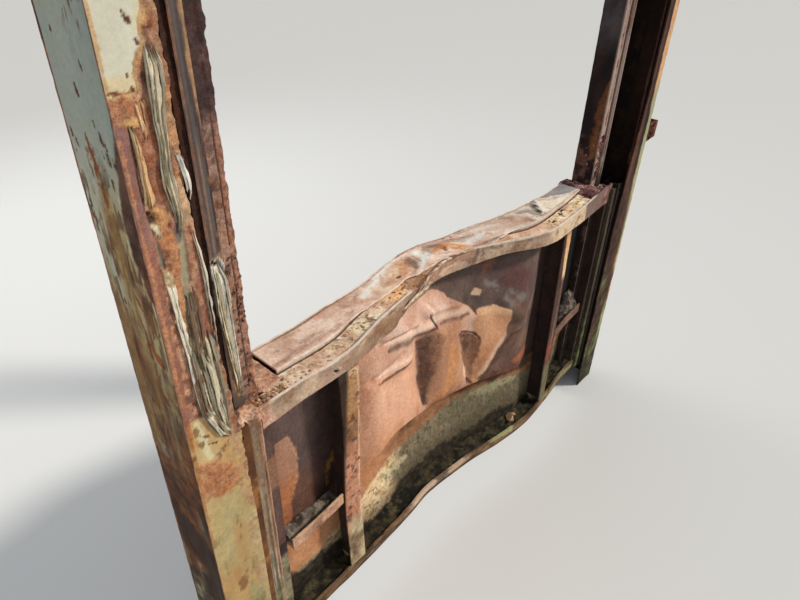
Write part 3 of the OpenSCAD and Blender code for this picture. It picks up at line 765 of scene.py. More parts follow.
def left_flange(c):
    up = (c.y < 4).astype(float)
    c.lay([(130, 90, 72), (172, 124, 98), (202, 156, 126)], 1, 1, scale=30, gain=1.6)
    c.h += up * (.0022 * c.n(46, 3, 5) + .0018 * np.round(c.n(15, 4, 5, (1, 1, .35)) * 2.2) / 2.2)
    c.lay([(84, 50, 42)], up * c.patch(60, .1, .4, 41, (1, 1, .5)) * .7)
    # Sound paint above, with a ragged edge towards the groove
    edge = curve([[2640, -1486], [2652, -1484], [2695, -1478], [2741, -1459], [2785, -1446], [2822, -1440],
                  [3400, -1432]], c.p[:, 2]) * 1000
    ragged = c.x + 8 * c.n(38, 8) - edge
    above = ease((c.z - 2652 - 12 * c.n(24, 7)) / 8 + .5)
    sound = above * ease(-ragged / 5 + .5) * up
    c.lay([(186, 146, 100), (206, 170, 124)], ease((c.z - 2644 - 12 * c.n(24, 7)) / 6 + .5)
          * ease((12 - ragged) / 8 + .5) * up, .7, .0006)
    c.lay([(196, 192, 172), (212, 208, 190), (222, 218, 202)], sound, .08, scale=7, stretch=(1, 1, .2))
    c.lay([(212, 190, 142)], sound * (1 - ease(-ragged / 16)) * c.patch(12, -.4, .3, 44) * .8, .15)
    c.lay([(206, 186, 140)], sound * c.span(c.z, 2600, 2690, 20) * .7, .15)
    c.lay([(206, 196, 166)], sound * c.patch(6, .1, .7, 42, (1, 1, .2)) * .6, .1)
    c.h[:] = c.h * (1 - sound) + .003 * sound
    for x, z, r in [(-1478, 2800, 8), (-1470, 2790, 6), (-1497, 2690, 3), (-1462, 2750, 5), (-1480, 2930, 10),
                    (-1505, 3080, 16), (-1460, 3200, 18), (-1520, 3290, 12)]:
        c.lay([(112, 66, 42)], c.near([[x, z + r], [x + r * .7, z - r]], r * .5, wobble=.9, scale=70) * up,
              .9, -.0015)
    c.lay([(196, 160, 112)], c.near([[-1543, 3400], [-1543, 2660]], 4, wobble=.8) * up * .8, .6)
    c.lay([(120, 66, 44)], c.near([[-1545, 2660], [-1515, 2653], [-1490, 2656], [-1478, 2650]],
                                  [2, 3, 4, 2], wobble=1.1, scale=80) * up, 1, -.003)
    # Cream and orange flakes under the paint
    c.lay([(206, 156, 108), (224, 190, 142)],
          c.near([[-1540, 2640], [-1500, 2636], [-1480, 2630]], [10, 12, 9], wobble=1, scale=60) * up
          * c.patch(40, -.4, .2, 43), .8, .002)
    c.lay([(168, 110, 82), (206, 156, 118)],
          c.near([[-1530, 2612], [-1500, 2596], [-1462, 2590]], 24, wobble=1.1, scale=50) * up * .8, 1,
          .001)
    c.lay([(216, 170, 112)], c.near([[-1520, 2596], [-1502, 2588]], [6, 9], wobble=1, scale=60) * up, .7,
          .002)
    # Purple scale down the outer side
    smooth = c.poly([[-1560, 2600], [-1530, 2590], [-1514, 2571], [-1517, 2503], [-1519, 2438],
                     [-1519, 2393], [-1517, 2353], [-1515, 2294], [-1517, 2217], [-1522, 2060],
                     [-1522, 1900], [-1528, 1760], [-1534, 1690], [-1560, 1680]], 3, wobble=4) * up
    c.lay([(112, 78, 72), (138, 100, 92), (156, 116, 104)], smooth, .6, scale=12, stretch=(1, 1, .3))
    c.lay([(146, 96, 76), (170, 116, 92)], smooth * c.span(c.z, 1600, 2300, 120) * .7, .9)
    c.h[:] = c.h * (1 - .7 * smooth) + .0026 * smooth
    c.lay([(196, 140, 104)], up * c.near([[-1542, 2560], [-1541, 2380], [-1538, 2200], [-1538, 1800]],
                                         [3, 3, 4, 4], wobble=1, scale=60) * .8, .9)
    c.lay([(64, 42, 36)], up * c.near([[-1515, 2580], [-1519, 2480], [-1520, 2395]], 2.5, wobble=.5,
                                      scale=40) * .8, .9, -.002)
    # Hollow, chunk, grey sliver and lime lump under the splinter
    c.lay([(58, 44, 36), (90, 74, 60)], c.poly([[-1519, 2392], [-1498, 2378], [-1488, 2350], [-1516, 2358]],
                                               2) * up, 1, -.006)
    c.lay([(216, 200, 152), (228, 216, 176)],
          c.poly([[-1517, 2356], [-1487, 2348], [-1496, 2312], [-1508, 2334]], 2) * up, .4, .004)
    c.lay([(112, 108, 98), (138, 130, 116)],
          c.poly([[-1511, 2318], [-1504, 2274], [-1503, 2236], [-1513, 2238]], 2) * up, .2, -.002)
    c.lay([(176, 156, 120), (214, 200, 166)],
          c.poly([[-1510, 2240], [-1488, 2210], [-1492, 2160], [-1512, 2180]], 3, wobble=4) * up, 1, .003,
          70, gain=2.4)
    # Bands between the loose sheets
    c.lay([(178, 122, 86), (206, 152, 110)],
          c.near([[-1492, 2380], [-1478, 2310], [-1474, 2210], [-1478, 2130], [-1484, 2000]],
                 [8, 14, 13, 11, 7], wobble=.6) * up, 1, .001, 40)
    c.lay([(206, 152, 100)], c.near([[-1494, 2378], [-1478, 2360]], [10, 12], wobble=1, scale=60) * up * .8,
          .9, .001)
    c.lay([(150, 98, 74), (180, 126, 98)],
          c.near([[-1482, 2570], [-1478, 2480], [-1474, 2400]], [12, 18, 12], wobble=.7) * up, 1, .001, 50,
          gain=2)
    c.lay([(196, 140, 100), (216, 166, 126)],
          c.near([[-1412, 2650], [-1416, 2572], [-1418, 2480], [-1420, 2380]], [8, 11, 10, 14], wobble=.6)
          * up, 1, .001, 44, gain=2)
    c.lay([(140, 134, 112), (158, 146, 112)],
          c.near([[-1446, 2300], [-1450, 2220], [-1458, 2150], [-1462, 2000]], [8, 12, 12, 10], wobble=.4)
          * up, .3, -.001, 60, stretch=(1, 1, .1))
    c.lay([(96, 88, 92)], c.near([[-1446, 2380], [-1450, 2320], [-1452, 2290]], [6, 12, 5], wobble=.4) * up
          * .8, .3)
    c.lay([(138, 84, 68), (170, 110, 88)],
          c.near([[-1424, 2330], [-1426, 2225], [-1426, 2105], [-1428, 1900]], [10, 15, 16, 11], wobble=.5)
          * up, 1, .0015, 60, gain=2.2)
    c.lay([(70, 44, 38)], c.near([[-1416, 2454], [-1408, 2424], [-1408, 2392]], [3, 6, 3], wobble=.4) * up,
          1, -.004)
    c.lay([(150, 128, 96), (104, 90, 70), (190, 170, 136)],
          c.poly([[-1496, 1980], [-1496, 1872], [-1492, 1760], [-1469, 1686], [-1440, 1612], [-1397, 1590],
                  [-1400, 1680], [-1408, 1867], [-1440, 2000], [-1470, 2050]], 4, wobble=3) * up, .5, .001,
          60, stretch=(1, .1, .10), gain=2.2)
    # Ochre and cream below the loose sheets
    low = ease((c.z
                - curve([[-1560, 1720], [-1522, 1735], [-1490, 1725], [-1469, 1680], [-1440, 1612],
                         [-1397, 1590], [-1360, 1590]], c.p[:, 0]) * 1000) / -8 + .5)
    low = low * up * (1 - smooth)
    c.lay([(162, 124, 78), (180, 146, 96), (194, 168, 124)], low, .22, scale=10, stretch=(1, 1, .35))
    c.h[:] = c.h * (1 - low) + .001 * low
    c.lay([(204, 194, 156)], low * c.near([[-1512, 1720], [-1500, 1640], [-1492, 1560]], [8, 18, 10]) * .8,
          .15)
    c.lay([(166, 112, 76), (194, 138, 100)],
          low
          * c.poly([[-1530, 1560], [-1470, 1540], [-1412, 1470], [-1420, 1370], [-1520, 1390],
                    [-1536, 1470]], 14, wobble=16), 1, .0015, 60, gain=2)
    c.lay([(176, 118, 70)], up * c.near([[-1534, 1730], [-1538, 1600], [-1541, 1400], [-1541, 1200]],
                                        [5, 6, 6, 6], wobble=.9) * .9, .9)
    c.lay([(126, 84, 52)], low * c.patch(26, .4, .65, 31, (1, 1, .6)) * .8, .8, .0006)
    c.lay([(92, 66, 40)], low * c.near([[-1486, 1616], [-1460, 1604]], [2, 3], wobble=.6) + low
          * c.near([[-1500, 1660], [-1480, 1640]], 3, wobble=1.2, scale=80) * .8)
    c.lay([(188, 170, 120), (150, 150, 110)], low * c.span(c.z, 0, 1380, 80, 60)
          * c.patch(10, -.3, .5, 32, (1, 1, .2)) * .7, .3)
    rim = ease((c.x - (-1400 - 30 * ease((c.z - 1300) / 900) - 12)) / 10) * up
    c.lay([(150, 100, 74), (206, 176, 140)], rim * c.patch(34, -.5, .2, 33) * .7, .8)
    back = 1 - ease((8 - c.y) / 3)
    c.lay(DARK, back * .8)
    wet_foot(c)


piece("front_flange_left", rings_along("z", eaten(.038, 4), ZL, [.005, .0045, .005, .02]), left_flange,
      "frame", "left_post_front_flange", seed=3)


def right_flange(c):
    # Dark base over the whole flange: painted shade
    c.lay([(30, 18, 13), (52, 32, 24), (80, 50, 38)], 1, .9, scale=20, stretch=(1, 1, .3), gain=1.6)
    c.lay([(92, 46, 30), (112, 60, 40)], c.patch(14, .2, .6, 31, (1, 1, .12)) * .6, .9)
    up = (c.y < 4).astype(float)
    c.lay(DARK, up * c.patch(22, .1, .5, 21, (1, 1, .4)) * .6)
    c.lay([(88, 62, 50), (120, 88, 72)], up * (1 - c.span(c.z, 1500, 4000, 300))
          * c.patch(9, -.3, .4, 22, (1, 1, .3)) * .6, .7)
    # Pale strip along the outer edge above 2 m: painted sunlight
    bright = up * c.span(c.x, 1490, 1560, 10, 6)
    c.lay([(196, 150, 112), (216, 182, 150), (226, 206, 184)], bright * c.span(c.z, 2000, 3500, 120), .35,
          scale=12, stretch=(1, 1, .12))
    c.lay([(206, 144, 84), (222, 182, 130)],
          bright * c.near([[1530, 2500], [1530, 2150]], [18, 24], wobble=.8) * .7, .4)
    c.lay([(150, 150, 116), (176, 172, 138)], up * c.span(c.z, 900, 2100, 200, 60)
          * c.span(c.x, 1500, 1560, 8, 8), .4, scale=14, stretch=(1, 1, .15))
    # Darker below 1.4 m away from the outer edge: painted shade
    c.lay([(40, 25, 18), (66, 42, 32), (88, 58, 46)], up * (1 - c.span(c.z, 1400, 4000, 300))
          * (1 - c.span(c.x, 1524, 1600, 10)) * .85, .8)
    c.lay(OCHRE, up * c.span(c.z, 700, 1700, 260) * c.patch(9, -.3, .4, 9, (1, 1, .1))
          * c.span(c.x, 1528, 1560, 10, 8) * .8, .4)
    c.lay(MOSS, up * c.span(c.z, -100, 900, 300, 80) * c.patch(12, -.6, .2, 10, (1, 1, .2)) * .9, .5)
    c.lay([(150, 156, 110)], up * c.span(c.z, -100, 620, 200, 80) * c.span(c.x, 1500, 1560, 20, 10)
          * c.patch(16, -.3, .3, 12, (1, 1, .2)), .4)
    c.h += up * .0016 * c.n(30, 3)
    rim = ease((1462 - c.x) / 20)
    c.lay([(84, 54, 44), (108, 74, 60)], rim * up * c.span(c.z, 1500, 4000, 200) * .7)
    c.lay(DARK, (1 - ease((8 - c.y) / 3)) * .8)
    wet_foot(c, 400)


piece("front_flange_right", mirror(rings_along("z", eaten(.058, 9), ZR, [.006, .009, .006, .02])),
      right_flange, "frame", "right_post_front_flange", seed=7)


def plain_rust(c):
    c.lay(RED, scale=14, stretch=(1, 1, .5))
    c.lay(BROWN, c.patch(7, -.1, .5, 3, (1, 1, .4)) * .8)
    c.lay(ORANGE, c.patch(11, .35, .6, 4) * .7)
    c.lay(DARK, c.patch(10, .4, .8, 5) * .7)
    c.h += .0012 * c.n(28, 6)
    wet_foot(c)


both_sides("back_flange", rings_along("z", box(-HALF, -HALF + FLANGE, POST_D - PLATE, POST_D), ZR, .012),
           plain_rust, "frame", "post_back_flange", 11)

CHANNEL = [(-HALF + .100, POST_D), (-GUIDE_X - PLATE, POST_D), (-GUIDE_X - PLATE, GUIDE_Y + PLATE),
           (-HALF + .215, GUIDE_Y + PLATE), (-HALF + .215, GUIDE_Y), (-GUIDE_X, GUIDE_Y),
           (-GUIDE_X, POST_D + PLATE), (-HALF + .100, POST_D + PLATE)]


def left_guide(c):
    c.lay([(124, 94, 82), (158, 124, 108), (184, 152, 134)], 1, 1, scale=26, gain=1.6)
    front = (c.y < 140).astype(float)
    c.lay([(66, 50, 50), (84, 64, 62), (104, 80, 76)], front * c.span(c.z, 2500, 3400, 160, 80), 1, scale=30)
    c.lay([(160, 122, 104), (184, 148, 128)], front * c.span(c.z, 0, 2300, 260, 80)
          * c.patch(14, -.4, .3, 9, (1, 1, .4)) * .8, 1)
    c.h += front * (.0020 * c.n(44, 3) + .0014 * c.n(14, 8)) + .0035 * c.n(30,
            9) * ease((9 - abs(c.x + 1212)) / 6) * ease((150 - c.y) / 10)
    c.lay([(70, 44, 38)],
          front
          * c.near([[-1234, 3200], [-1233, 2444], [-1231, 2240], [-1229, 2100], [-1236, 1900],
                    [-1236, 1600]], 2.6, wobble=.8, scale=40), 1, -.002)
    c.lay([(166, 114, 92), (188, 138, 114)], front * c.span(c.x, -1228, -1200, 5)
          * c.span(c.z, 1500, 2500, 200, 60) * .8, 1, scale=50)
    c.lay([(90, 62, 54)], front * c.patch(60, .25, .5, 10) * .6)
    # Dark band left of the wear strip: painted shadow of the front flange
    c.lay([(60, 38, 30), (84, 52, 38)], front * c.span(c.x, -1345, -1309, 6))
    c.lay([(110, 66, 44)], (1 - front) * c.patch(12, .1, .6, 5) * .5)
    wet_foot(c, 1100)


piece("guide_left", rings_along("z", lambda z: CHANNEL, heights(GUIDE_H, .006, .012),
                                [.02, .02, .02, .01, .005, .012, .02, .01]), left_guide, "frame",
      "left_guide_channel", seed=13)


def right_guide(c):
    # Near black base: painted shade over the inner faces
    c.lay([(18, 10, 7), (34, 20, 14), (52, 32, 24)], 1, .9, scale=16, stretch=(1, 1, .4))
    front = (c.y < 146).astype(float)
    c.lay([(60, 54, 58), (78, 70, 72)], (1 - front) * c.span(c.z, 2350, 3300, 200, 60)
          * c.patch(6, -.4, .3, 3, (1, 1, .3)) * .8, .4)
    c.lay([(96, 56, 32), (124, 76, 44)], c.near([[150, 2150], [160, 1950], [165, 1750]], [8, 22, 24],
                                                (1, 2), .9, 20) * .8)
    c.lay([(92, 60, 52), (116, 82, 72)], c.span(c.z, 1560, 1800, 60, 40) * c.patch(22, -.2, .3, 4) * .9, 1,
          .001)
    c.lay([(150, 126, 116), (176, 154, 142)], front * c.span(c.x, 1205, 1262, 5, 2), .3, scale=18,
          stretch=(1, 1, .15))
    c.lay([(92, 58, 46)], front * c.near([[1240, 3200], [1240, 1600]], 3.5, wobble=.6), 1)
    c.h += .001 * c.n(30, 6)
    # Near black below 1.48 m: painted shade
    c.lay([(15, 10, 8), (28, 19, 16)], (1 - c.span(c.z, 1480, 4000, 60)) * .9, .8)
    wet_foot(c, 900)


piece("guide_right",
      mirror(rings_along("z", lambda z: CHANNEL, np.linspace(0, GUIDE_H, 300),
                         [.02, .02, .02, .01, .008, .012, .02, .01])), right_guide, "frame",
      "right_guide_channel", seed=17)


def left_strip(c):
    c.lay([(78, 66, 64), (98, 84, 80), (122, 102, 92)], 1, .35, scale=12, stretch=(1, 1, .08))
    c.lay([(124, 90, 72), (150, 112, 88)],
          c.near([[-1306, 3200], [-1305, 2500], [-1303, 1600]], 4, wobble=.7) * .85, .7)
    c.lay([(110, 78, 66)], c.patch(16, .1, .5, 21, (1, 1, .15)) * .6, .7)
    c.lay([(150, 112, 84), (172, 134, 100)], c.span(c.z, 2120, 2480, 80, 40) * c.span(c.x, -1290, -1262, 6)
          * .7, .6)
    c.lay([(190, 150, 108)], c.near([[-1272, 3200], [-1272, 2640], [-1268, 2500]], [4, 6, 3], wobble=.6)
          * .8, .5)
    c.lay([(112, 80, 72)], c.near([[-1270, 2500], [-1269, 2140]], 4, wobble=.8) * .9, .8)
    c.lay([(84, 78, 78), (104, 96, 92)],
          c.near([[-1292, 3200], [-1292, 2616], [-1286, 2530], [-1280, 2455], [-1278, 2391], [-1278, 2298],
                  [-1278, 2213], [-1283, 2134]], [5, 5, 7, 7, 6, 7, 8, 5], wobble=.25), .15, -.0012, 30,
          stretch=(1, 1, .06))
    lime = c.poly([[-1309, 2120], [-1283, 2124], [-1264, 2084], [-1263, 1965], [-1262, 1800], [-1262, 1590],
                   [-1276, 1580], [-1286, 1700], [-1300, 1860], [-1312, 1989]], 3, wobble=5, scale=30)
    c.lay([(186, 176, 150), (222, 214, 192), (240, 234, 218)], lime, .5, .003, 34, stretch=(1, 1, .3),
          gain=1.8)
    c.lay([(96, 92, 86)], c.near([[-1286, 2112], [-1274, 2076], [-1270, 1990]], [6, 9, 3], wobble=.3),
          .1, -.0015)
    c.lay([(52, 40, 32)], c.near([[-1302, 2112], [-1294, 2106]], 6, wobble=.5), 1, -.003)
    c.lay([(176, 138, 92), (206, 172, 124)],
          c.near([[-1304, 1980], [-1298, 1860], [-1290, 1700], [-1282, 1600]], [4, 9, 10, 9], wobble=.5)
          * .9, .6)
    c.lay([(120, 110, 94)], c.near([[-1280, 1960], [-1276, 1800], [-1270, 1600]], [3, 5, 6], wobble=.6, k=9)
          * .9)
    c.lay(BROWN, c.span(c.z, -10, 1500, 120, 30) * .8)
    wet_foot(c, 900)


piece("wear_strip_left", rings_along("z", WEAR_STRIP, heights(GUIDE_H, .006, .014), .006),
      left_strip, "frame", "left_guide_strip", seed=19)


def right_strip(c):
    c.lay([(82, 64, 58), (116, 94, 84), (146, 124, 112)], 1, .4, scale=10, stretch=(1, 1, .08))
    c.lay([(206, 196, 186)], c.near([[1300, 3200], [1302, 1600]], 3.5, wobble=.9, scale=30) * .9, .3)
    c.lay([(96, 60, 44)], c.patch(14, .2, .6, 4, (1, 1, .3)) * .8, .9)
    c.lay(WHITE, c.span(c.z, 1560, 1760, 60, 30) * c.patch(20, -.2, .3, 6) * .4)
    # Near black below 1.47 m: painted shade
    c.lay([(17, 12, 10), (30, 21, 18)], (1 - c.span(c.z, 1470, 4000, 60)) * .92, .8)
    wet_foot(c, 1000)


piece("wear_strip_right", mirror(rings_along("z", WEAR_STRIP, np.linspace(0, GUIDE_H, 300), .008)),
      right_strip, "frame", "right_guide_strip", seed=23)


def liner(c):
    c.lay([(44, 28, 20), (64, 42, 30), (86, 58, 42)], scale=14, stretch=(1, 1, .3))
    # Right-hand bar darker: painted shade
    c.lay([(24, 12, 6), (34, 20, 12)], (c.x > 0) * .8)
    c.lay([(110, 118, 104), (136, 140, 122)], c.span(c.z, 2700, 3300, 300)
          * c.patch(7, -.3, .3, 4, (1, 1, .12)) * .7, .3)
    c.lay([(136, 96, 86)], c.span(c.y, 50, 64, 5, 2) * .7, .4)
    c.h += .0012 * c.n(26, 5)


both_sides("groove_bar", rings_along("z", LINER, np.linspace(1.620, 3.180, 180), .009),
           liner, "frame", "groove_liner", 29)

HEAD = [(.070, 3.240), (.200, 3.240), (.200, 3.250), (.080, 3.250), (.080, 3.390), (.200, 3.390),
        (.200, 3.400), (.070, 3.400)]


def head(c):
    c.lay(RED, scale=14)
    c.lay(SHADED_PAINT, c.patch(3.2, -.1, .1, 3) * (c.y < 74), .12)
    c.lay(OCHRE, c.patch(5, .1, .6, 4, (1, 1, .4)) * .5, .4)
    c.lay(BROWN, c.patch(9, .25, .5, 5) * .9, 1, .0008)
    c.h += .0008 * c.n(30, 6)


piece("cross_beam_top", rings_along("x", lambda x: HEAD, np.linspace(-HALF + PLATE, HALF - PLATE, 300),
                                    .012), head, "frame", "head_beam", seed=31)


# Leaf
def beam_section(x):
    y, z = LEAF_Y + bow_top(x), LEAF_TOP
    b = y + (.070 if abs(x) > SKIN_X else LEAF_D - HAIR)
    w, c, low = z - SINK, z - lip_loss(x), (END_TOP if x < -END_EDGE else max(z - BEAM_H, float(beam_low(x))))
    return [(y, low), (y, c), (y + T, c), (y + T, w), (b, w), (b, w - T), (y + T, w - T), (y + T, low)]


def top_beam(c):
    face = ease((LEAF_Y + .004 + bow_top(c.p[:, 0]) - c.p[:, 1]) / .002)
    v = c.y - LEAF_Y * 1000 - bow_top(c.p[:, 0]) * 1000
    c.lay([(146, 120, 98), (176, 150, 126), (200, 176, 152)], 1, .7, scale=16, stretch=(.5, 1, 1), gain=1.7)
    c.lay([(160, 132, 92), (178, 148, 108)],
          face * c.near([[-640, 1540], [-520, 1500], [-470, 1500]], [16, 40, 20], wobble=.7, scale=14) * .6,
          .6)
    c.lay([(208, 170, 144), (222, 190, 166)],
          face * c.near([[-330, 1548], [-180, 1530], [-60, 1520], [60, 1530]], [16, 26, 30, 24], wobble=.5)
          * .7, .5)
    c.lay([(110, 86, 74)], face * c.near([[-300, 1566], [-200, 1560], [-120, 1556], [-30, 1560]],
                                         [6, 11, 9, 4], wobble=.6) * .7, .8)
    c.lay([(160, 130, 112), (184, 156, 136)], face * c.patch(5, -.1, .6, 3, (1, 1, .5)) * .7, .5)
    c.lay([(118, 78, 58)], face * c.patch(20, .35, .7, 4, (.5, 1, 1)) * .55)
    c.lay([(116, 80, 62), (138, 98, 76)], face * c.patch(9, .15, .5, 14, (.4, 1, 1))
          * c.span(c.x, -1300, 500, 200) * .5, .9)
    # Vertical fold in the face: painted shade in it and a painted highlight along its ridge
    c.lay([(122, 100, 90)], face * c.near([[126, 1574], [118, 1540], [104, 1500], [88, 1462]],
                                          [10, 8, 10, 8], wobble=.5) * .85, .5, -.0015)
    c.lay([(190, 168, 148)], face * c.near([[140, 1574], [134, 1530], [120, 1462]], 5, wobble=.6) * .5, .5,
          .001)
    # From x 560 to 945 the face is cream as painted sunlight, with brown spots; beyond 945 it is darker as
    # painted shade
    c.lay([(206, 180, 146), (226, 202, 170)], face * c.span(c.x, 560, 945, 100, 40) * .85, .4, scale=20)
    c.lay([(150, 104, 72), (176, 130, 96)], face * c.span(c.x, 520, 960, 80) * c.patch(30, .25, .6, 15)
          * .8, .9)
    c.lay([(104, 82, 80), (128, 102, 96)], face * c.span(c.x, 945, 1400, 24, 20) * .9, .6)
    c.lay([(74, 56, 54)], face * c.span(c.x, 1180, 1400, 40, 20) * c.patch(14, -.3, .3, 16) * .8, .8)
    c.lay([(206, 190, 176), (230, 216, 202)], c.span(c.z, 1568, 1590, 5, 4)
          * (1 - c.span(c.x, -380, 100, 30)) * (1 - c.span(c.x, 1090, 1400, 40)) * .9, .3, scale=24)
    c.h += .0012 * c.n(20, 6) * (1 - .5 * face) + .0026 * c.n(7, 7) * ease((c.z - 1470) / 60) * face
    # Floor of the channel with its deposits
    floor = c.span(c.z, 1546, 1558, 3) * (1 - face) * ease((v - 6) / 3)
    c.lay([(204, 164, 136), (226, 190, 162), (240, 212, 188)], floor, .8, scale=20, gain=1.6)
    c.lay([(206, 188, 150), (224, 208, 176), (236, 224, 200)], floor * c.span(c.x, -1150, -600, 90, 60)
          * c.patch(9, -.7, 0, 8), .6, .001)
    c.lay([(186, 150, 126), (206, 172, 148)], floor * c.span(c.x, -1150, -700, 90, 60)
          * c.patch(12, .0, .4, 18) * .8, .8)
    c.lay([(110, 78, 58)], floor * c.span(c.x, -1100, -300, 60) * c.patch(60, .4, .55, 19) * .7, 1)
    c.lay([(230, 172, 122), (240, 194, 146), (246, 212, 172)], floor * c.span(c.x, -500, 130, 80, 40)
          * c.patch(8, -.8, -.2, 9), .9, .001)
    c.lay([(196, 152, 128), (214, 176, 152)], floor * c.span(c.x, -1340, -1130, 60) * .9, 1)
    c.lay([(220, 192, 146), (236, 214, 172)], floor * c.span(c.x, 640, 1080, 60, 40)
          * c.patch(16, -.5, .1, 20), .8, .001)
    c.lay([(240, 226, 192), (248, 238, 214)], floor * c.span(c.x, 740, 1070, 50, 40)
          * c.patch(34, .1, .35, 21), .7, .002)
    heap = c.span(c.x, 1075, 1400, 40, 30) * (1 - face)
    c.lay([(78, 46, 50), (110, 70, 72), (150, 112, 108)], heap, 1, .001, 34, gain=1.8)
    for x, y in [(812, 102), (762, 79), (666, 63)]:
        c.lay([(18, 12, 10)], c.near([[x - 8, y], [x + 8, y + 3]], 9, (0, 1), .6, 60) * floor, 1, -.004)
        c.lay([(236, 216, 176)], c.near([[x - 16, y + 12], [x + 16, y + 14]], 5, (0, 1), .8, 60) * floor
              * .7, .6)
    # Slot in the face
    c.lay([(30, 20, 16)], c.near([[-926, 1524], [-914, 1516]], 7, wobble=.4, scale=60) * face, 1, -.005)
    c.lay([(198, 172, 150)], c.near([[-908, 1528], [-900, 1524]], 4, wobble=.3) * face, .6)
    # Torn part of the lip
    c.lay([(150, 108, 86), (186, 144, 118)], c.span(c.x, -360, 90, 20) * c.span(c.z, 1530, 1580, 6) * .8,
          .9, .0006)
    # Crusted ends
    left, right = c.span(c.x, -1400, -1215, 30, 20), c.span(c.x, 1190, 1400, 30, 20)
    c.lay([(176, 128, 104), (206, 160, 134), (222, 184, 160)], left * .8, 1, .0004, 34)
    c.lay([(92, 62, 60), (128, 92, 86), (160, 124, 114)], right * .9, 1, .0008, 34)
    c.h += (left + right) * (.0018 * c.n(28, 11) + .0016 * c.n(70, 12) - .001)


XS = np.concatenate([np.linspace(-BEAM_X, -END_EDGE - HAIR, 12),
                     np.linspace(-END_EDGE + HAIR, -SKIN_X - .004, 18), np.linspace(-SKIN_X, SKIN_X, 400),
                     np.linspace(SKIN_X + .008, BEAM_X, 18)])
piece("beam_top", rings_along("x", beam_section, XS, [.006, .006, .008, .006, .006, .008, .02, .02]),
      top_beam, "leaf", "top_beam", seed=37)

APRON = [[-1100, 2], [-787, 2], [-672, 8], [-598, 18], [-463, 25], [-387, 30], [-307, 32], [-240, 66],
         [-160, 84], [-60, 92], [60, 94], [160, 92], [230, 80], [300, 50], [371, 20], [440, 4], [479, 2],
         [1100, 2]]


def cover_section(x):
    a = LEAF_Y + LEAF_D + T + HAIR + bow_top(x)
    b = a + COVER_W + bow_back(x) - bow_top(x)
    z = LEAF_TOP - .003 + wave(x)
    e = z + .6 * wave(x + .060)
    d, t = COVER_DROP, T
    o = float(curve(APRON, x)) * (1 + .06 * float(fbm(np.array([[x, 0, 0]]), 30, 3, 2)[0]))
    f = z - .10 * o
    return [(a, z - d), (a, z - t), (a - o, f - .0034), (a - o, f), (b, e), (b, e - d), (b - t, e - d),
            (b - t, e - t), (a + t, z - t), (a + t, z - d)]


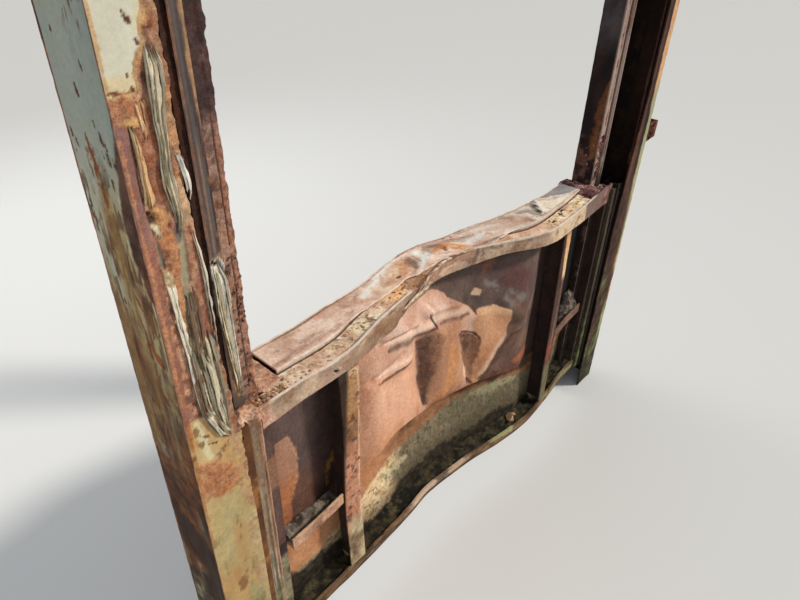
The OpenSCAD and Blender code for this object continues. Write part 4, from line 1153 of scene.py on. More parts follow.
def top_cover(c):
    x = c.p[:, 0]
    a = LEAF_Y + LEAF_D + T + bow_top(x)
    w = COVER_W + bow_back(x) - bow_top(x)
    v = (c.p[:, 1] - a) / w * 150
    o = curve(APRON, x) * 150 / w
    top = ease((c.p[:, 2] - (LEAF_TOP - .003 + wave(x)) + .0155) / .004)
    at = Coat(np.column_stack([c.p[:, 0], v / 1000, c.p[:, 2] * 0]), c.seed)
    yx = (0, 1)

    def near(path, width, tones, k=.9, grit=.5, height=0.0, soft=.8, wobble=.4, scale=16):
        c.lay(tones, top * at.near(path, width, yx, wobble, scale, soft) * k, grit, height, 40)

    def poly(path, tones, k=.9, grit=.5, height=0.0, soft=3, wobble=8):
        c.lay(tones, top * at.poly(path, soft, yx, wobble, 14) * k, grit, height, 22)

    c.lay([(160, 122, 104), (188, 150, 128), (206, 172, 150)], 1, .8, scale=16)
    c.lay([(200, 166, 146), (220, 188, 168), (230, 206, 188)], top * (1 - c.span(c.x, 200, 2000, 200)), .45,
          scale=12, gain=1.7)
    c.lay([(184, 166, 148), (210, 194, 178), (226, 214, 200)], top * c.span(c.x, 230, 2000, 160), .4,
          scale=14, gain=1.5)
    c.lay([(190, 152, 130)], top * at.patch(11, .1, .6, 31, (.5, 1, 1)) * .6, .7)
    c.lay([(160, 122, 100)], top * at.patch(30, .3, .6, 32, (.5, 1, 1)) * .5, .9)
    # Left stretch, with a pale bend and a hollow
    near([[-1000, 140], [-800, 136], [-600, 140]], 6, [(120, 78, 58)], .7, 1)
    near([[-1090, 20], [-960, 26], [-800, 20]], [10, 14, 8], [(150, 108, 86)], .5, .9)
    near([[-900, 90], [-760, 60]], [20, 26], [(228, 204, 182)], .6, .3)
    near([[-620, 80], [-560, 30], [-520, 0]], [16, 20, 12], [(196, 156, 132)], .7, .6, -.003)
    near([[-540, 60], [-511, 58], [-434, 93], [-326, 130], [-255, 143]], [20, 26, 24, 18, 10],
         [(216, 210, 200), (230, 224, 214)], .9, .2, .002)
    near([[-470, 60], [-440, 20], [-424, -10]], [16, 22, 14], [(224, 196, 168)], .8, .4, .001)
    near([[-369, 112], [-400, 70], [-420, 30]], [6, 9, 6], [(184, 150, 126)], .7, .5, -.003)
    # Hump
    near([[-250, 84], [-220, 50], [-230, 10], [-300, 0], [-372, 20]], [34, 52, 50, 36, 22],
         [(200, 146, 108), (220, 172, 134)], .95, .8, .003)
    near([[-330, 80], [-300, 50], [-270, 60]], [14, 18, 10], [(222, 194, 148)], .8, .6)
    near([[-188, 50], [-192, 6], [-204, -50]], [26, 34, 20], [(112, 88, 78), (136, 110, 98)], .95, .6, -.003)
    near([[-331, 10], [-322, 4]], 12, [(104, 66, 46)], 1, 1, -.003, .6)
    # Pale line of a second rolled rim: painted highlight
    near([[-332, 122], [-241, 124], [-154, 108]], [6, 9, 6], [(236, 222, 206)], .9, .3, .001)
    # Middle, where the sheet is bent down over the channel
    near([[-118, 76], [-96, 0], [-112, -50], [-198, -90]], [26, 40, 36, 20],
         [(206, 204, 196), (228, 226, 218)], .95, .2, .003)
    near([[-150, 60], [-146, 0], [-152, -50]], [6, 8, 5], [(150, 128, 114)], .8, .6, -.002)
    near([[-62, 56], [-52, 10], [-50, -30]], [14, 18, 12], [(146, 142, 136)], .85, .4, -.002)
    # Dark grey dent: painted shade
    near([[-46, 84], [-8, 72], [6, 44], [24, 12], [8, -28]], [12, 26, 30, 26, 14],
         [(92, 82, 80), (116, 106, 100)], 1, .4, -.005, .7)
    near([[-30, -24], [20, -14], [60, -14], [100, -44], [84, -90]], [26, 44, 46, 44, 26],
         [(206, 136, 76), (224, 160, 98)], .95, 1, .003)
    near([[30, -10], [16, -50], [10, -84]], [8, 11, 7], [(140, 88, 54)], .9, 1, -.002)
    near([[60, -30], [76, -56]], 14, [(236, 190, 140)], .7, .6, .001)
    near([[100, 20], [140, -28], [188, 8], [243, 22]], [16, 34, 34, 22], [(206, 202, 194), (226, 222, 214)],
         .9, .2, .002)
    near([[60, 70], [110, 60], [160, 56]], [18, 22, 14], [(182, 148, 124)], .85, .7)
    near([[120, 100], [160, 70], [190, 40]], [5, 8, 5], [(120, 92, 78)], .8, .7, -.003)
    near([[184, 96], [284, 90], [392, 80]], [14, 20, 12], [(214, 200, 184), (228, 216, 202)], .85, .4, .002)
    near([[150, -90], [210, -70], [268, -53], [330, -30]], [5, 8, 8, 5], [(96, 74, 64)], .85, .7, -.002)
    near([[230, -30], [300, -16], [380, 20]], [16, 22, 14], [(214, 180, 156)], .8, .5, .001)
    near([[470, 120], [540, 70], [560, 20]], [14, 20, 12], [(150, 128, 118)], .75, .6, -.002)
    near([[346, 52], [464, 63]], [26, 20], [(206, 178, 160)], .6, .5)
    # Dark line along the back rim: painted shade
    near([[-236, 138], [-90, 146], [34, 146], [152, 114]], [3, 5, 5, 3], [(110, 90, 80)], .9, .6, -.001, .5)
    # Right stretch, with painted shade in the crumples, painted highlights on their ridges, a painted sunlit
    # triangle and a painted shaded end
    near([[574, 112], [646, 100], [642, 60], [646, 24]], [12, 24, 20, 10],
         [(128, 118, 112), (150, 140, 132)], .9, .4, -.004, .7)
    near([[512, 76], [580, 82]], [24, 20], [(212, 180, 162)], .6, .5, .001)
    near([[764, 142], [748, 122], [716, 98], [690, 64], [660, 38]], [10, 21, 26, 21, 9],
         [(26, 20, 19), (50, 40, 37)], 1, .7, -.009, .45)
    near([[786, 128], [756, 92], [716, 50]], [6, 9, 6], [(240, 230, 212)], .9, .3, .003)
    poly([[766, 128], [996, 20], [910, 9], [703, 10], [711, 69]], [(228, 216, 192), (238, 228, 208)], .8, .3)
    poly([[800, 165], [822, 148], [930, 96], [1000, 40], [1120, 20], [1120, 170]],
         [(124, 122, 128), (148, 144, 146)], .9, .4, -.001)
    near([[806, 140], [900, 100], [1004, 34]], 5, [(236, 226, 208)], .8, .3, .002, .5)
    near([[660, 12], [800, 10], [960, 16]], 4, [(186, 140, 112)], .6, .8)
    # Rolled edges, back and front: a painted highlight along the back one with a line of painted shade inside
    # it, the front one pale, and painted shade in the slit under the front one
    c.lay([(214, 190, 168), (234, 216, 198)], top * ease((v - 142) / 3) * .9, .3, .0012)
    c.lay([(128, 96, 80)], top * at.near([[-1100, 139], [1100, 139]], 2.4, yx, .8, 30) * .6)
    c.lay([(226, 206, 186), (240, 226, 210)], top * ease((6 - v - o) / 4) * .9, .3)
    c.lay(BROWN, (1 - top) * .85, 1)
    c.lay([(36, 24, 20)], (1 - top) * ease((6 - v - o) / 3) * .9)
    dents = (.010 * np.exp(-(((c.x - 160) / 56) ** 2 + ((v - 70) / 34) ** 2))
             + .006 * np.exp(-(((c.x + 60) / 60) ** 2 + ((v - 10) / 30) ** 2))
             + .008 * np.exp(-(((c.x - 760) / 22) ** 2 + ((v - 60) / 46) ** 2))
             - .006 * np.exp(-(((c.x - 800) / 20) ** 2 + ((v - 84) / 40) ** 2))
             + .005 * np.exp(-(((c.x + 400) / 60) ** 2 + ((v - 40) / 40) ** 2)))
    c.h -= top * dents
    c.h += top * (.0030 * at.n(9, 9) + .0012 * at.n(24, 10) + .0004 * at.n(60, 11))


piece("cover_band", rings_along("x", cover_section, np.linspace(-COVER_X, COVER_X, 460),
                                [.02, .03, .002, .0062, .02, .03, .016, .02, .02, .02]), top_cover, "leaf",
      "top_cover", seed=41)


def skin_rings():
    """Rows of the plate's front face and fewer of its back, all along the bow."""
    low, top = TROUGH_Z, LEAF_TOP - SINK
    out = []
    for x in np.concatenate([np.linspace(-SKIN_X, -.90, 34), np.linspace(-.89, -.78, 10),
                             np.linspace(-.772, .72, 290), np.linspace(.728, SKIN_X, 42)]):
        f = float(fold_z(x))
        u = np.linspace(0, 1, SKIN_ROWS)
        z = np.where(u < .25, low + (f - .02 - low) * u / .25,
                     np.where(u < .34, f - .02 + .06 * (u - .25) / .09, f + .04 + (top - f - .04)
                              * (u - .34) / .66))
        y = LEAF_Y + LEAF_D + bow_skin(x, z) - dent(x, z)
        ends = (top, f + .15), (f + .13, f - .07), (f - .09, low)
        zb = np.concatenate([np.linspace(a, b, n) for (a, b), n in zip(ends, BACK_ROWS)])
        yb = LEAF_Y + LEAF_D + bow_skin(x, zb) - dent(x, zb) + T
        out.append(np.column_stack([np.full(SKIN_ROWS + len(zb), x), np.r_[y, yb], np.r_[z, zb]]))
    return np.array(out)


LIT = [[-800, 1500], [-420, 1500], [-372, 1420], [-372, 1390], [-270, 1408], [-168, 1413], [-80, 1384],
       [-9, 1343], [-4, 1321], [92, 1250], [125, 1211], [140, 1184], [160, 1206], [256, 1202], [342, 1153],
       [359, 1076], [334, 994], [292, 934], [226, 856], [180, 770], [120, 690], [-100, 660], [-800, 560]]
SUNLIT = [[-1260, 1102], [-1240, 1160], [-1199, 1221], [-1150, 1240], [-1094, 1235], [-1076, 1173],
          [-1053, 1079], [-1069, 980], [-1096, 896], [-1111, 814], [-1130, 700], [-1260, 700]]


def skin(c):
    x, z = c.p[:, 0], c.p[:, 2]
    front = ease((LEAF_Y + LEAF_D + bow_skin(x, z) - dent(x, z) + .004 - c.p[:, 1]) / .002)
    f = fold_z(x) * 1000
    up = c.z - f
    st = (1, 1, .35)
    c.lay([(104, 70, 60), (134, 94, 78), (156, 112, 92)], 1, .6, scale=9, stretch=st, gain=1.5)
    # Left bay: dark purple-grey as painted shade, with a painted sunlit patch low on the left and a pale line
    # along its edge
    lb = c.span(c.x, -1300, -838, 8, 8) * front
    c.lay([(78, 62, 60), (92, 74, 70), (104, 84, 78)], lb, .6, scale=7, stretch=(1, 1, .5))
    c.lay([(96, 62, 50), (116, 78, 60)], lb * c.span(c.z, 600, 1000, 260, 60) * .7, .7)
    sun = c.poly(SUNLIT, 5, wobble=14, scale=10) * lb
    c.lay([(140, 100, 80), (158, 116, 94), (174, 132, 108)], sun, .6, scale=9, stretch=(1, 1, .5))
    c.lay([(164, 98, 58), (184, 116, 72)], sun * c.span(c.z, 600, 980, 180, 60) * .8, .8)
    c.lay([(196, 150, 116)],
          c.near([[-1199, 1224], [-1150, 1238], [-1094, 1238], [-1074, 1173], [-1052, 1079], [-1068, 980],
                  [-1096, 896]], 3, wobble=.5) * lb * .6, .4, .001)
    # Darker towards the rib: painted shadow of the rib
    c.lay([(48, 34, 30), (66, 46, 40)], lb * c.span(c.x, -955, -800, 60, 14) * .85, .8)
    c.lay([(132, 94, 36), (150, 110, 52)],
          lb * (c.near([[-885, 930], [-885, 870]], [10, 12], wobble=.8, scale=30)
                + c.near([[-858, 950], [-860, 900]], 7, wobble=.8, scale=30)
                + c.near([[-896, 830], [-896, 776]], [8, 12], wobble=.8, scale=30)) * .8, .7)
    # Middle bay: the shaded upper right first, then the lit bulge
    mb = c.span(c.x, -838, 738, 8, 8) * ease((up + 4) / 8) * front
    c.lay([(82, 68, 62), (100, 82, 74), (116, 96, 86)], mb, .55, scale=8, stretch=(1, 1, .6), gain=1.5)
    c.lay([(82, 64, 64), (96, 76, 74)], mb * c.near([[250, 1400], [420, 1330], [560, 1200]], [60, 90, 70],
                                                    wobble=.7, scale=8, soft=.9) * .8, .5)
    c.lay([(84, 60, 54), (104, 78, 68), (124, 94, 80)],
          mb * c.poly([[180, 790], [359, 1076], [342, 1180], [740, 1130], [740, 600], [120, 640]], 40,
                      wobble=40, scale=8) * .9, .6, scale=11)
    c.lay([(86, 50, 36), (112, 66, 46)], mb * c.span(up, -20, 100, 60, 50) * c.span(c.x, 100, 800, 120, 40)
          * .85, .8, stretch=(1, 1, .5))
    c.lay([(144, 80, 52), (166, 98, 66)], mb * c.near([[430, 760], [540, 740], [640, 700]], [14, 34, 30],
            wobble=.5, soft=.9) * .9, .8)
    # Dark next to the right rib: painted shadow of the rib and the right post
    c.lay([(44, 32, 30), (58, 42, 38)], mb * c.span(c.x, 636, 800, 20, 12) * .9, .7)
    lit = c.poly(LIT, 4, wobble=5, scale=16) * mb
    c.lay([(186, 142, 118), (206, 162, 138), (218, 180, 158)], lit, .4, scale=8, stretch=(1, 1, .5), gain=1.3)
    c.lay([(202, 164, 144), (214, 178, 160), (222, 190, 174)],
          lit * c.near([[-700, 1440], [-520, 1400], [-400, 1350], [-220, 1330], [-60, 1290]],
                       [90, 90, 80, 70, 40], wobble=.4, scale=9, soft=.9) * .85, .3, scale=12)
    c.lay([(204, 146, 112), (218, 164, 132), (226, 176, 146)],
          lit * c.poly([[-800, 1290], [-560, 1210], [-330, 1150], [-280, 800], [-420, 700], [-800, 560]],
                       40, wobble=30, scale=8) * .85, .4, scale=10, stretch=st)
    c.lay([(190, 132, 94), (206, 150, 110)],
          lit * c.near([[-700, 700], [-560, 800], [-440, 820]], [50, 50, 30], wobble=.5, scale=12, soft=.9)
          * .8, .6, stretch=st)
    c.lay([(156, 112, 84), (176, 130, 98), (190, 144, 112)],
          lit * c.poly([[-250, 1200], [60, 1190], [70, 1060], [60, 860], [90, 700], [-250, 700]], 24,
                       wobble=26, scale=9) * .9, .6, scale=12, stretch=st)
    c.lay([(184, 124, 76), (200, 142, 94)], lit * c.near([[-20, 1060], [-40, 960], [-80, 860], [-120, 800]],
            [22, 44, 60, 60], wobble=.5, scale=14, soft=.9) * .85, .7, stretch=st)
    c.lay([(196, 140, 102), (210, 158, 118)],
          lit
          * c.poly([[150, 1200], [256, 1202], [342, 1153], [359, 1076], [334, 994], [226, 856], [160, 800],
                    [130, 980]], 14, wobble=14, scale=12) * .9, .55, scale=14)
    c.lay([(224, 182, 142)], lit * c.near([[190, 1176], [260, 1180], [330, 1140]], [14, 26, 14], wobble=.6,
                                          soft=.9) * .7, .4)
    c.lay([(170, 112, 74), (186, 130, 88)], lit * c.near([[226, 930], [180, 830], [130, 760]], [34, 36, 30],
            wobble=.6, scale=14, soft=.9) * .85, .6)
    c.lay([(176, 122, 94)], lit * c.patch(12, .2, .6, 21, (1, 1, .3)) * .35, .8)
    c.lay([(176, 152, 142)], lit * c.near([[-470, 1400], [-420, 1330]], [26, 40], wobble=.8, scale=12,
                                          soft=.9) * .5, .3)
    c.lay([(206, 172, 144)], mb * c.poly([[137, 1289], [166, 1315], [203, 1297], [182, 1273]], 3, wobble=5,
                                         scale=30) * .85, .4)
    # The two soft hollows, sharp along their left edges
    hollow = lit * ease((c.x + 277) / 9) * c.poly([[-263, 1196], [-264, 1126], [-262, 1044], [-272, 913],
                                                   [-281, 851], [-240, 826], [-222, 895], [-180, 981],
                                                   [-140, 1064], [-96, 1130], [-76, 1150], [-140, 1196],
                                                   [-200, 1214]], 16, wobble=12, scale=20)
    c.lay([(124, 88, 66), (146, 106, 80)], hollow * .75, .8, scale=30)
    c.lay([(76, 52, 46), (96, 68, 58)], hollow * ease((-186 - c.x + 34 * c.n(18, 61)) / 90 + .5) * .92,
          .8, -.001, scale=40)
    c.lay([(70, 48, 44)], hollow * c.near([[-250, 900], [-262, 850], [-250, 832]], [16, 24, 16], wobble=.4,
                                          soft=.7) * .9, .8)
    c.lay([(120, 84, 64)], hollow * c.patch(60, .1, .4, 62) * .6, 1)
    c.lay([(214, 164, 128)], lit * c.near([[-292, 1180], [-292, 1060], [-300, 960], [-300, 880]],
                                          [8, 12, 12, 8], wobble=.4, soft=.9) * .6, .4, .001)
    c.lay([(126, 84, 58), (146, 102, 74)], lit * c.near([[-230, 790], [-120, 780], [0, 770], [80, 750]],
            [20, 44, 50, 30], wobble=.8, scale=12, soft=.95) * .75, .8, stretch=st)
    # Second hollow: darker as painted shadow of the ridge to its right, with a crisp dark line along its top
    pit = lit * c.poly([[38, 1096], [92, 1080], [156, 1052], [182, 1010], [176, 954], [164, 881],
                        [128, 800], [104, 756], [66, 784], [98, 845], [66, 958], [44, 1028]], 9, wobble=16,
                       scale=26)
    c.lay([(104, 72, 56), (130, 92, 70)], pit * .85, .8, -.001, scale=44)
    c.lay([(78, 52, 46)], pit * c.near([[60, 1084], [96, 1060], [100, 1000], [96, 940]], [10, 24, 26, 14],
                                       wobble=.7, scale=30, soft=.8) * .8, .8)
    c.lay([(150, 104, 72)], pit * c.patch(40, .0, .4, 63) * .7, .8)
    c.lay([(58, 40, 38)], mb * c.near([[34, 1096], [60, 1100], [92, 1084], [150, 1058], [180, 1016]],
                                      [4, 9, 8, 7, 4], wobble=.4, soft=.6) * .9, .8, -.001)
    c.lay([(86, 56, 42)], lit * c.near([[84, 800], [96, 776], [112, 760]], [6, 11, 8], wobble=.7) * .9,
          1, -.002)
    c.lay([(120, 78, 54)], lit * c.near([[-200, 800], [-100, 780], [-20, 776]], [8, 14, 8], wobble=.9,
                                        scale=20, soft=.8) * .7, .9)
    # Creases, each a soft dark underside of painted shade with a painted highlight on the ridge above it
    for path, w, k in (([[-500, 1296], [-473, 1296], [-375, 1272], [-284, 1238], [-179, 1222],
                         [-130, 1216]], [5, 12, 15, 15, 12, 7], .9),
                       ([[-150, 1312], [-132, 1262], [-124, 1216]], [5, 10, 7], .95),
                       ([[-95, 1222], [-20, 1212], [41, 1198], [99, 1199]], [7, 14, 14, 8], .6),
                       ([[-600, 1190], [-560, 1188], [-466, 1172], [-390, 1156], [-317, 1144]],
                        [3, 6, 8, 8, 4], .8),
                       ([[165, 762], [201, 806], [275, 898], [366, 985], [450, 1010], [560, 1060]],
                        [6, 7, 7, 8, 8, 4], .7), ([[128, 1238], [136, 1212], [148, 1180]], [3, 7, 4], .9)):
        c.lay([(96, 66, 54), (118, 84, 68)], mb * c.near(path, w, wobble=.25, scale=40, soft=.8) * k,
              .8, -.0016)
        c.lay([(66, 44, 38)], mb * c.near([[px, pz + 3] for px, pz in path], [.42 * e for e in w],
                                          wobble=.3, scale=40, soft=.6) * k * .85, .8, -.0008)
        c.lay([(230, 200, 178), (238, 212, 192)],
              lit * c.near([[px, pz + 30] for px, pz in path], [1.5 * e for e in w], wobble=.3, scale=30,
                           soft=.9) * .75 * k, .3, .0012)
    c.lay([(52, 36, 40)], lit * c.near([[-168, 1312], [-140, 1270], [-126, 1228]], [3, 8, 5], wobble=.3,
                                       soft=.5) * .9, .7, -.003)
    form = .007 * c.near([[-500, 1330], [-375, 1306], [-284, 1272], [-179, 1254]], [26, 36, 36, 22],
                         wobble=.1, soft=.95)
    form = form + .006 * c.near([[-80, 1252], [20, 1246], [94, 1236]], [24, 34, 20], wobble=.1, soft=.95)
    form = form + .005 * c.near([[-600, 1216], [-466, 1200], [-330, 1174]], [18, 28, 18], wobble=.1, soft=.95)
    form = form - .005 * c.near([[-560, 1150], [-466, 1132], [-330, 1106]], [22, 34, 20], wobble=.1, soft=.95)
    dips = c.poly([[-263, 1196], [-262, 1044], [-272, 860], [-236, 836], [-180, 981], [-96, 1130],
                   [-140, 1196], [-200, 1214]], 26, wobble=7)
    dips = dips + .8 * c.poly([[50, 1080], [150, 1048], [176, 954], [128, 800], [104, 770], [98, 845],
                               [66, 958]], 24, wobble=8)
    form = (form - .006 * dips) * ease((up - 30) / 60)
    c.h += (2 * front - 1) * form
    # Marks on the shaded part
    c.lay([(136, 86, 52), (156, 102, 62)], mb * c.near([[294, 1452], [272, 1436], [247, 1418], [222, 1381]],
            [6, 18, 22, 10], wobble=.8, scale=34, soft=.9) * .7, .8)
    for p in ([[236, 1326], [300, 1290]], [[330, 1216], [352, 1186]], [[360, 1250], [420, 1200]]):
        c.lay([(120, 118, 112), (142, 138, 130)], mb * c.near(p, [12, 18], wobble=1.0, scale=40, soft=.9)
              * .6, .3)
    c.lay([(92, 50, 46), (104, 60, 54)], mb * c.near([[380, 1320], [430, 1290]], [50, 56], wobble=.7,
            scale=16, soft=.95) * .6, .6)
    # Dark band under the top beam: painted shadow of the beam
    c.lay([(62, 48, 48)], mb * c.near([[120, 1470], [300, 1480], [560, 1470]], [14, 30, 26], wobble=.7,
                                      scale=10, soft=.9) * .6, .5)
    # Pale line over a dark one: a crease's painted highlight and painted shade
    c.lay([(128, 108, 98)], mb * c.near([[400, 1020], [500, 1090], [600, 1130]], [12, 24, 14], wobble=.5,
                                        soft=.9) * .5, .4, .001)
    c.lay([(60, 44, 42)], mb * c.near([[420, 980], [520, 1040], [620, 1090]], [8, 14, 8], wobble=.5,
                                      soft=.9) * .6, .5, -.001)
    # Right bay: near black as painted shade of the right post, with a lighter purple patch up on the left and
    # darker still towards the right
    rb = c.span(c.x, 738, 1300, 8, 8) * front
    c.lay([(20, 14, 12), (30, 21, 19), (42, 31, 29)], rb, .7, scale=9, stretch=(1, 1, .4))
    c.lay([(84, 70, 70), (98, 82, 82)], rb * c.poly([[780, 1470], [1000, 1470], [930, 1330], [800, 1180]],
                                                    30, wobble=40, scale=9) * .7, .5)
    c.lay([(16, 12, 11)], rb * c.span(c.x, 980, 1300, 120, 50) * .9, .7)
    # Slime below the fold, from a cream edge to dark mud
    mud_z = curve([[-1200, 420], [-800, 330], [-550, 276], [-414, 310], [-266, 338], [-180, 353],
                   [-54, 350], [125, 345], [458, 345], [660, 300], [865, 250], [1200, 240]], x) * 1000
    slime_z = curve([[-1200, 400], [-800, 440], [-659, 486], [-590, 512], [-477, 540], [-341, 560],
                     [-200, 572], [-50, 592], [100, 607], [250, 600], [428, 565], [796, 480], [1200, 460]],
                    x) * 1000
    slime = ease((2 - up) / 10) * front
    lines = c.n(16, 14, 5, (1, 1, .6))
    c.lay([(108, 76, 52), (140, 98, 68), (160, 116, 82)], slime, .7, scale=18)
    c.lay([(176, 122, 84), (198, 144, 104)], slime * (1 - c.span(c.x, -420, 2000, 140, 60)) * .85, .5,
          scale=14)
    # Dark band just under the fold: painted shadow of the bulge above
    c.lay([(66, 48, 36), (84, 62, 44)], slime * c.span(c.x, -400, 800, 90) * c.span(up, -70, 10, 24, 14)
          * .85, .8)
    wet = slime * ease((slime_z + 18 * c.n(14, 24) - c.z) / 14 + .5)
    c.lay([(104, 94, 74), (120, 109, 86), (136, 124, 100)], wet, .6, .0012, scale=60, stretch=(1, 1, .7),
          gain=1.3)
    c.lay([(92, 84, 64), (106, 98, 76), (120, 112, 88)], wet * c.span(c.x, 60, 800, 160, 80) * .8, .7,
          scale=70, stretch=(1, 1, .7))
    c.lay([(150, 146, 112), (166, 160, 124)],
          wet * c.near([[240, 590], [400, 560], [560, 520]], [24, 40, 20], wobble=.8, scale=20, soft=.9)
          * .7, .5)
    left = 1 - c.span(c.x, -440, 2000, 120, 70)
    c.lay([(220, 186, 142), (234, 206, 164), (240, 216, 178)], wet * left * .95, .4, .001, scale=14,
          stretch=(1, 1, .6))
    c.lay([(172, 142, 98)], wet * left * c.patch(60, .2, .5, 26, (.6, 1, .8)) * .7, .7)
    c.lay([(190, 180, 140)], wet * c.near([[-480, 460], [-380, 470], [-300, 450]], [26, 22, 8], wobble=.9,
                                          scale=20) * .7, .4)
    # Dark line along the fold: painted shade
    c.lay([(62, 50, 36), (84, 68, 48)],
          slime * c.near([[-760, 690], [-570, 736], [-435, 756], [0, 718], [250, 672], [650, 602]],
                         [3, 6, 9, 10, 10, 8], wobble=.9, scale=24), .9)
    c.lay([(72, 62, 46)], wet * c.patch(80, .3, .55, 17, (.6, 1, 1)) * .6, .9)
    c.lay([(84, 75, 56)], wet * ease((mud_z + 150 - c.z) / 150) * .7, .8)
    c.lay([(28, 24, 18), (46, 40, 30), (66, 58, 44)], slime * ease((mud_z + 40 * lines - c.z) / 26 + .5),
          .9, .002, scale=40)
    c.lay(MOSS, wet * c.span(c.x, 600, 800, 60) * c.patch(12, .0, .5, 19) * .5)
    c.h = np.where(front > .5, np.maximum(c.h, form - .0040), c.h)
    c.h += front * (.0016 * c.n(7, 20) + .0005 * c.n(48, 21) + slime * .0022 * c.n(34, 22))
    # Upstream face, wet and dark lower down
    back = 1 - front
    c.lay([(84, 52, 40), (120, 76, 56), (150, 98, 72)], back, .9, scale=11, stretch=st)
    c.lay(MOSS, back * c.span(c.z, 0, 1050, 260, 120) * .7, .7)
    c.lay(MUD, back * c.span(c.z, 0, 620, 260, 90) * .8, .8)


piece("skin_sheet", skin_rings(), skin, "leaf", "skin_plate", seed=43, sharp=70)

FLANGE_L = [[190, -880, -785], [892, -884, -789], [1195, -890, -796], [1480, -910, -801]]


def rib_section(x0):
    top, low = float(beam_low(x0)) - HAIR, LEAF_LOW + STRIP_H + HAIR

    def corners(z):
        h = RIB_W / 2
        x = x0 + math.copysign(LEAN, x0) * (top - z) / (top - low)
        y = LEAF_Y + float(bow_skin(x, z))
        e = .003 * float(fbm(np.array([[x0, 0, z]]), 26, 4, 5)[0])
        a, b = x - h + abs(e), x + h
        if x0 < 0:
            t = np.array(FLANGE_L) / 1000
            a, b = np.interp(z, t[:, 0], t[:, 1]) + abs(e), np.interp(z, t[:, 0], t[:, 2])
            x = (a + b) / 2 - .004
        return [(a, y), (b, y), (b, y + T), (x + T / 2, y + T), (x + T / 2, y + LEAF_D - .001),
                (x - T / 2, y + LEAF_D - .001), (x - T / 2, y + T), (a, y + T)]
    return corners, np.linspace(top, low, 220)


def flange_front(c):
    return ease((LEAF_Y + .003 + bow_skin(c.p[:, 0], c.p[:, 2]) - c.p[:, 1]) / .002)


def left_rib(c):
    front = flange_front(c)
    c.lay([(132, 92, 64), (166, 120, 84), (190, 144, 106)], 1, .9, scale=13, stretch=(1, 1, .6), gain=1.5)
    c.lay([(164, 124, 84), (184, 142, 100)], c.span(c.z, 1240, 1520, 60) * c.patch(12, -.6, .1, 3) * .85)
    c.lay([(200, 156, 116)], c.span(c.z, 1150, 1330, 60) * c.patch(9, .0, .5, 4) * .7)
    c.lay([(178, 120, 92), (200, 146, 120)], c.span(c.z, 300, 1060, 160) * .8, .7)
    c.lay([(150, 84, 58)], c.span(c.z, 900, 1130, 90) * c.patch(10, -.1, .5, 5) * .7)
    c.lay([(212, 186, 150)], c.span(c.z, 1440, 1480, 12) * c.patch(30, -.3, .3, 6) * .8)
    c.lay([(214, 176, 144)], c.near([[-806, 1460], [-800, 1190], [-794, 890], [-790, 400]], 5, wobble=.6)
          * front * .8, .4)
    c.lay([(88, 56, 42)], c.patch(46, .35, .55, 12) * front * .8, 1, -.0008)
    c.lay(SLIME, c.span(c.z, 0, 520, 120, 60) * .7, .6)
    web = np.interp(c.z, np.array(FLANGE_L)[:, 0], np.array(FLANGE_L)[:, 1:].mean(axis=1)) - 4
    # Side of the web facing left near black as painted shade; the side facing right lighter as painted light
    c.lay([(30, 22, 20), (46, 34, 30)], (1 - front) * ease((web - c.x) / 3 + .2) * .95)
    c.lay([(150, 106, 76), (186, 138, 100)], (1 - front) * ease((c.x - web) / 3 + .2)
          * c.span(c.z, 300, 1500, 60) * .7)
    c.h += .0009 * c.n(26, 7)


def right_rib(c):
    front = flange_front(c)
    c.lay([(100, 66, 54), (134, 92, 76), (160, 116, 96)], 1, .7, scale=12, stretch=(1, 1, .5))
    c.lay([(70, 48, 40), (92, 66, 56)], 1, .7, scale=16)
    # Pale wedge at the top of the flange front: painted sunlight
    wedge = front * ease((c.x - 738 + (c.z - 1470) * .10) / 10 + 1.6) * c.span(c.z, 1180, 1490, 90, 20)
    c.lay([(206, 158, 108), (226, 184, 138), (236, 204, 166)], wedge, .35, scale=14, stretch=(1, 1, .4))
    c.lay([(112, 84, 78), (134, 104, 94)],
          front * c.near([[772, 1200], [768, 1000], [764, 760], [760, 400]], [6, 8, 8, 7], wobble=.7) * .8,
          .5)
    c.lay([(134, 66, 44), (154, 84, 58)], c.span(c.z, 540, 760, 80) * c.patch(9, -.3, .3, 5) * .6)
    c.lay([(96, 94, 66), (124, 120, 86)], c.span(c.z, 240, 540, 100, 40) * .8, .5)
    # Sides and back near black: painted shade
    c.lay([(44, 30, 26), (60, 42, 36)], (1 - front) * .92)
    c.lay([(34, 26, 24)], (1 - front) * c.span(c.z, 240, 900, 200) * .6)
    c.h += .0009 * c.n(26, 7)


for name, x0, paint, sd in (("left", RIB_L, left_rib, 47), ("right", RIB_R, right_rib, 53)):
    fn, zs = rib_section(x0)
    piece("rib_" + name, rings_along("z", fn, zs, [.006, .008, .008, .014, .008, .014, .008, .008]), paint,
          "leaf", name + "_rib", seed=sd)


def shelf_section(x):
    m = float(bow_mid(x))
    y, b, z = LEAF_Y + .008 + m, LEAF_Y + LEAF_D - .001 + m, MID_Z - T
    return [(y, z), (y, z + LIP), (y + T, z + LIP), (y + T, z + T), (b, z + T), (b, z)]


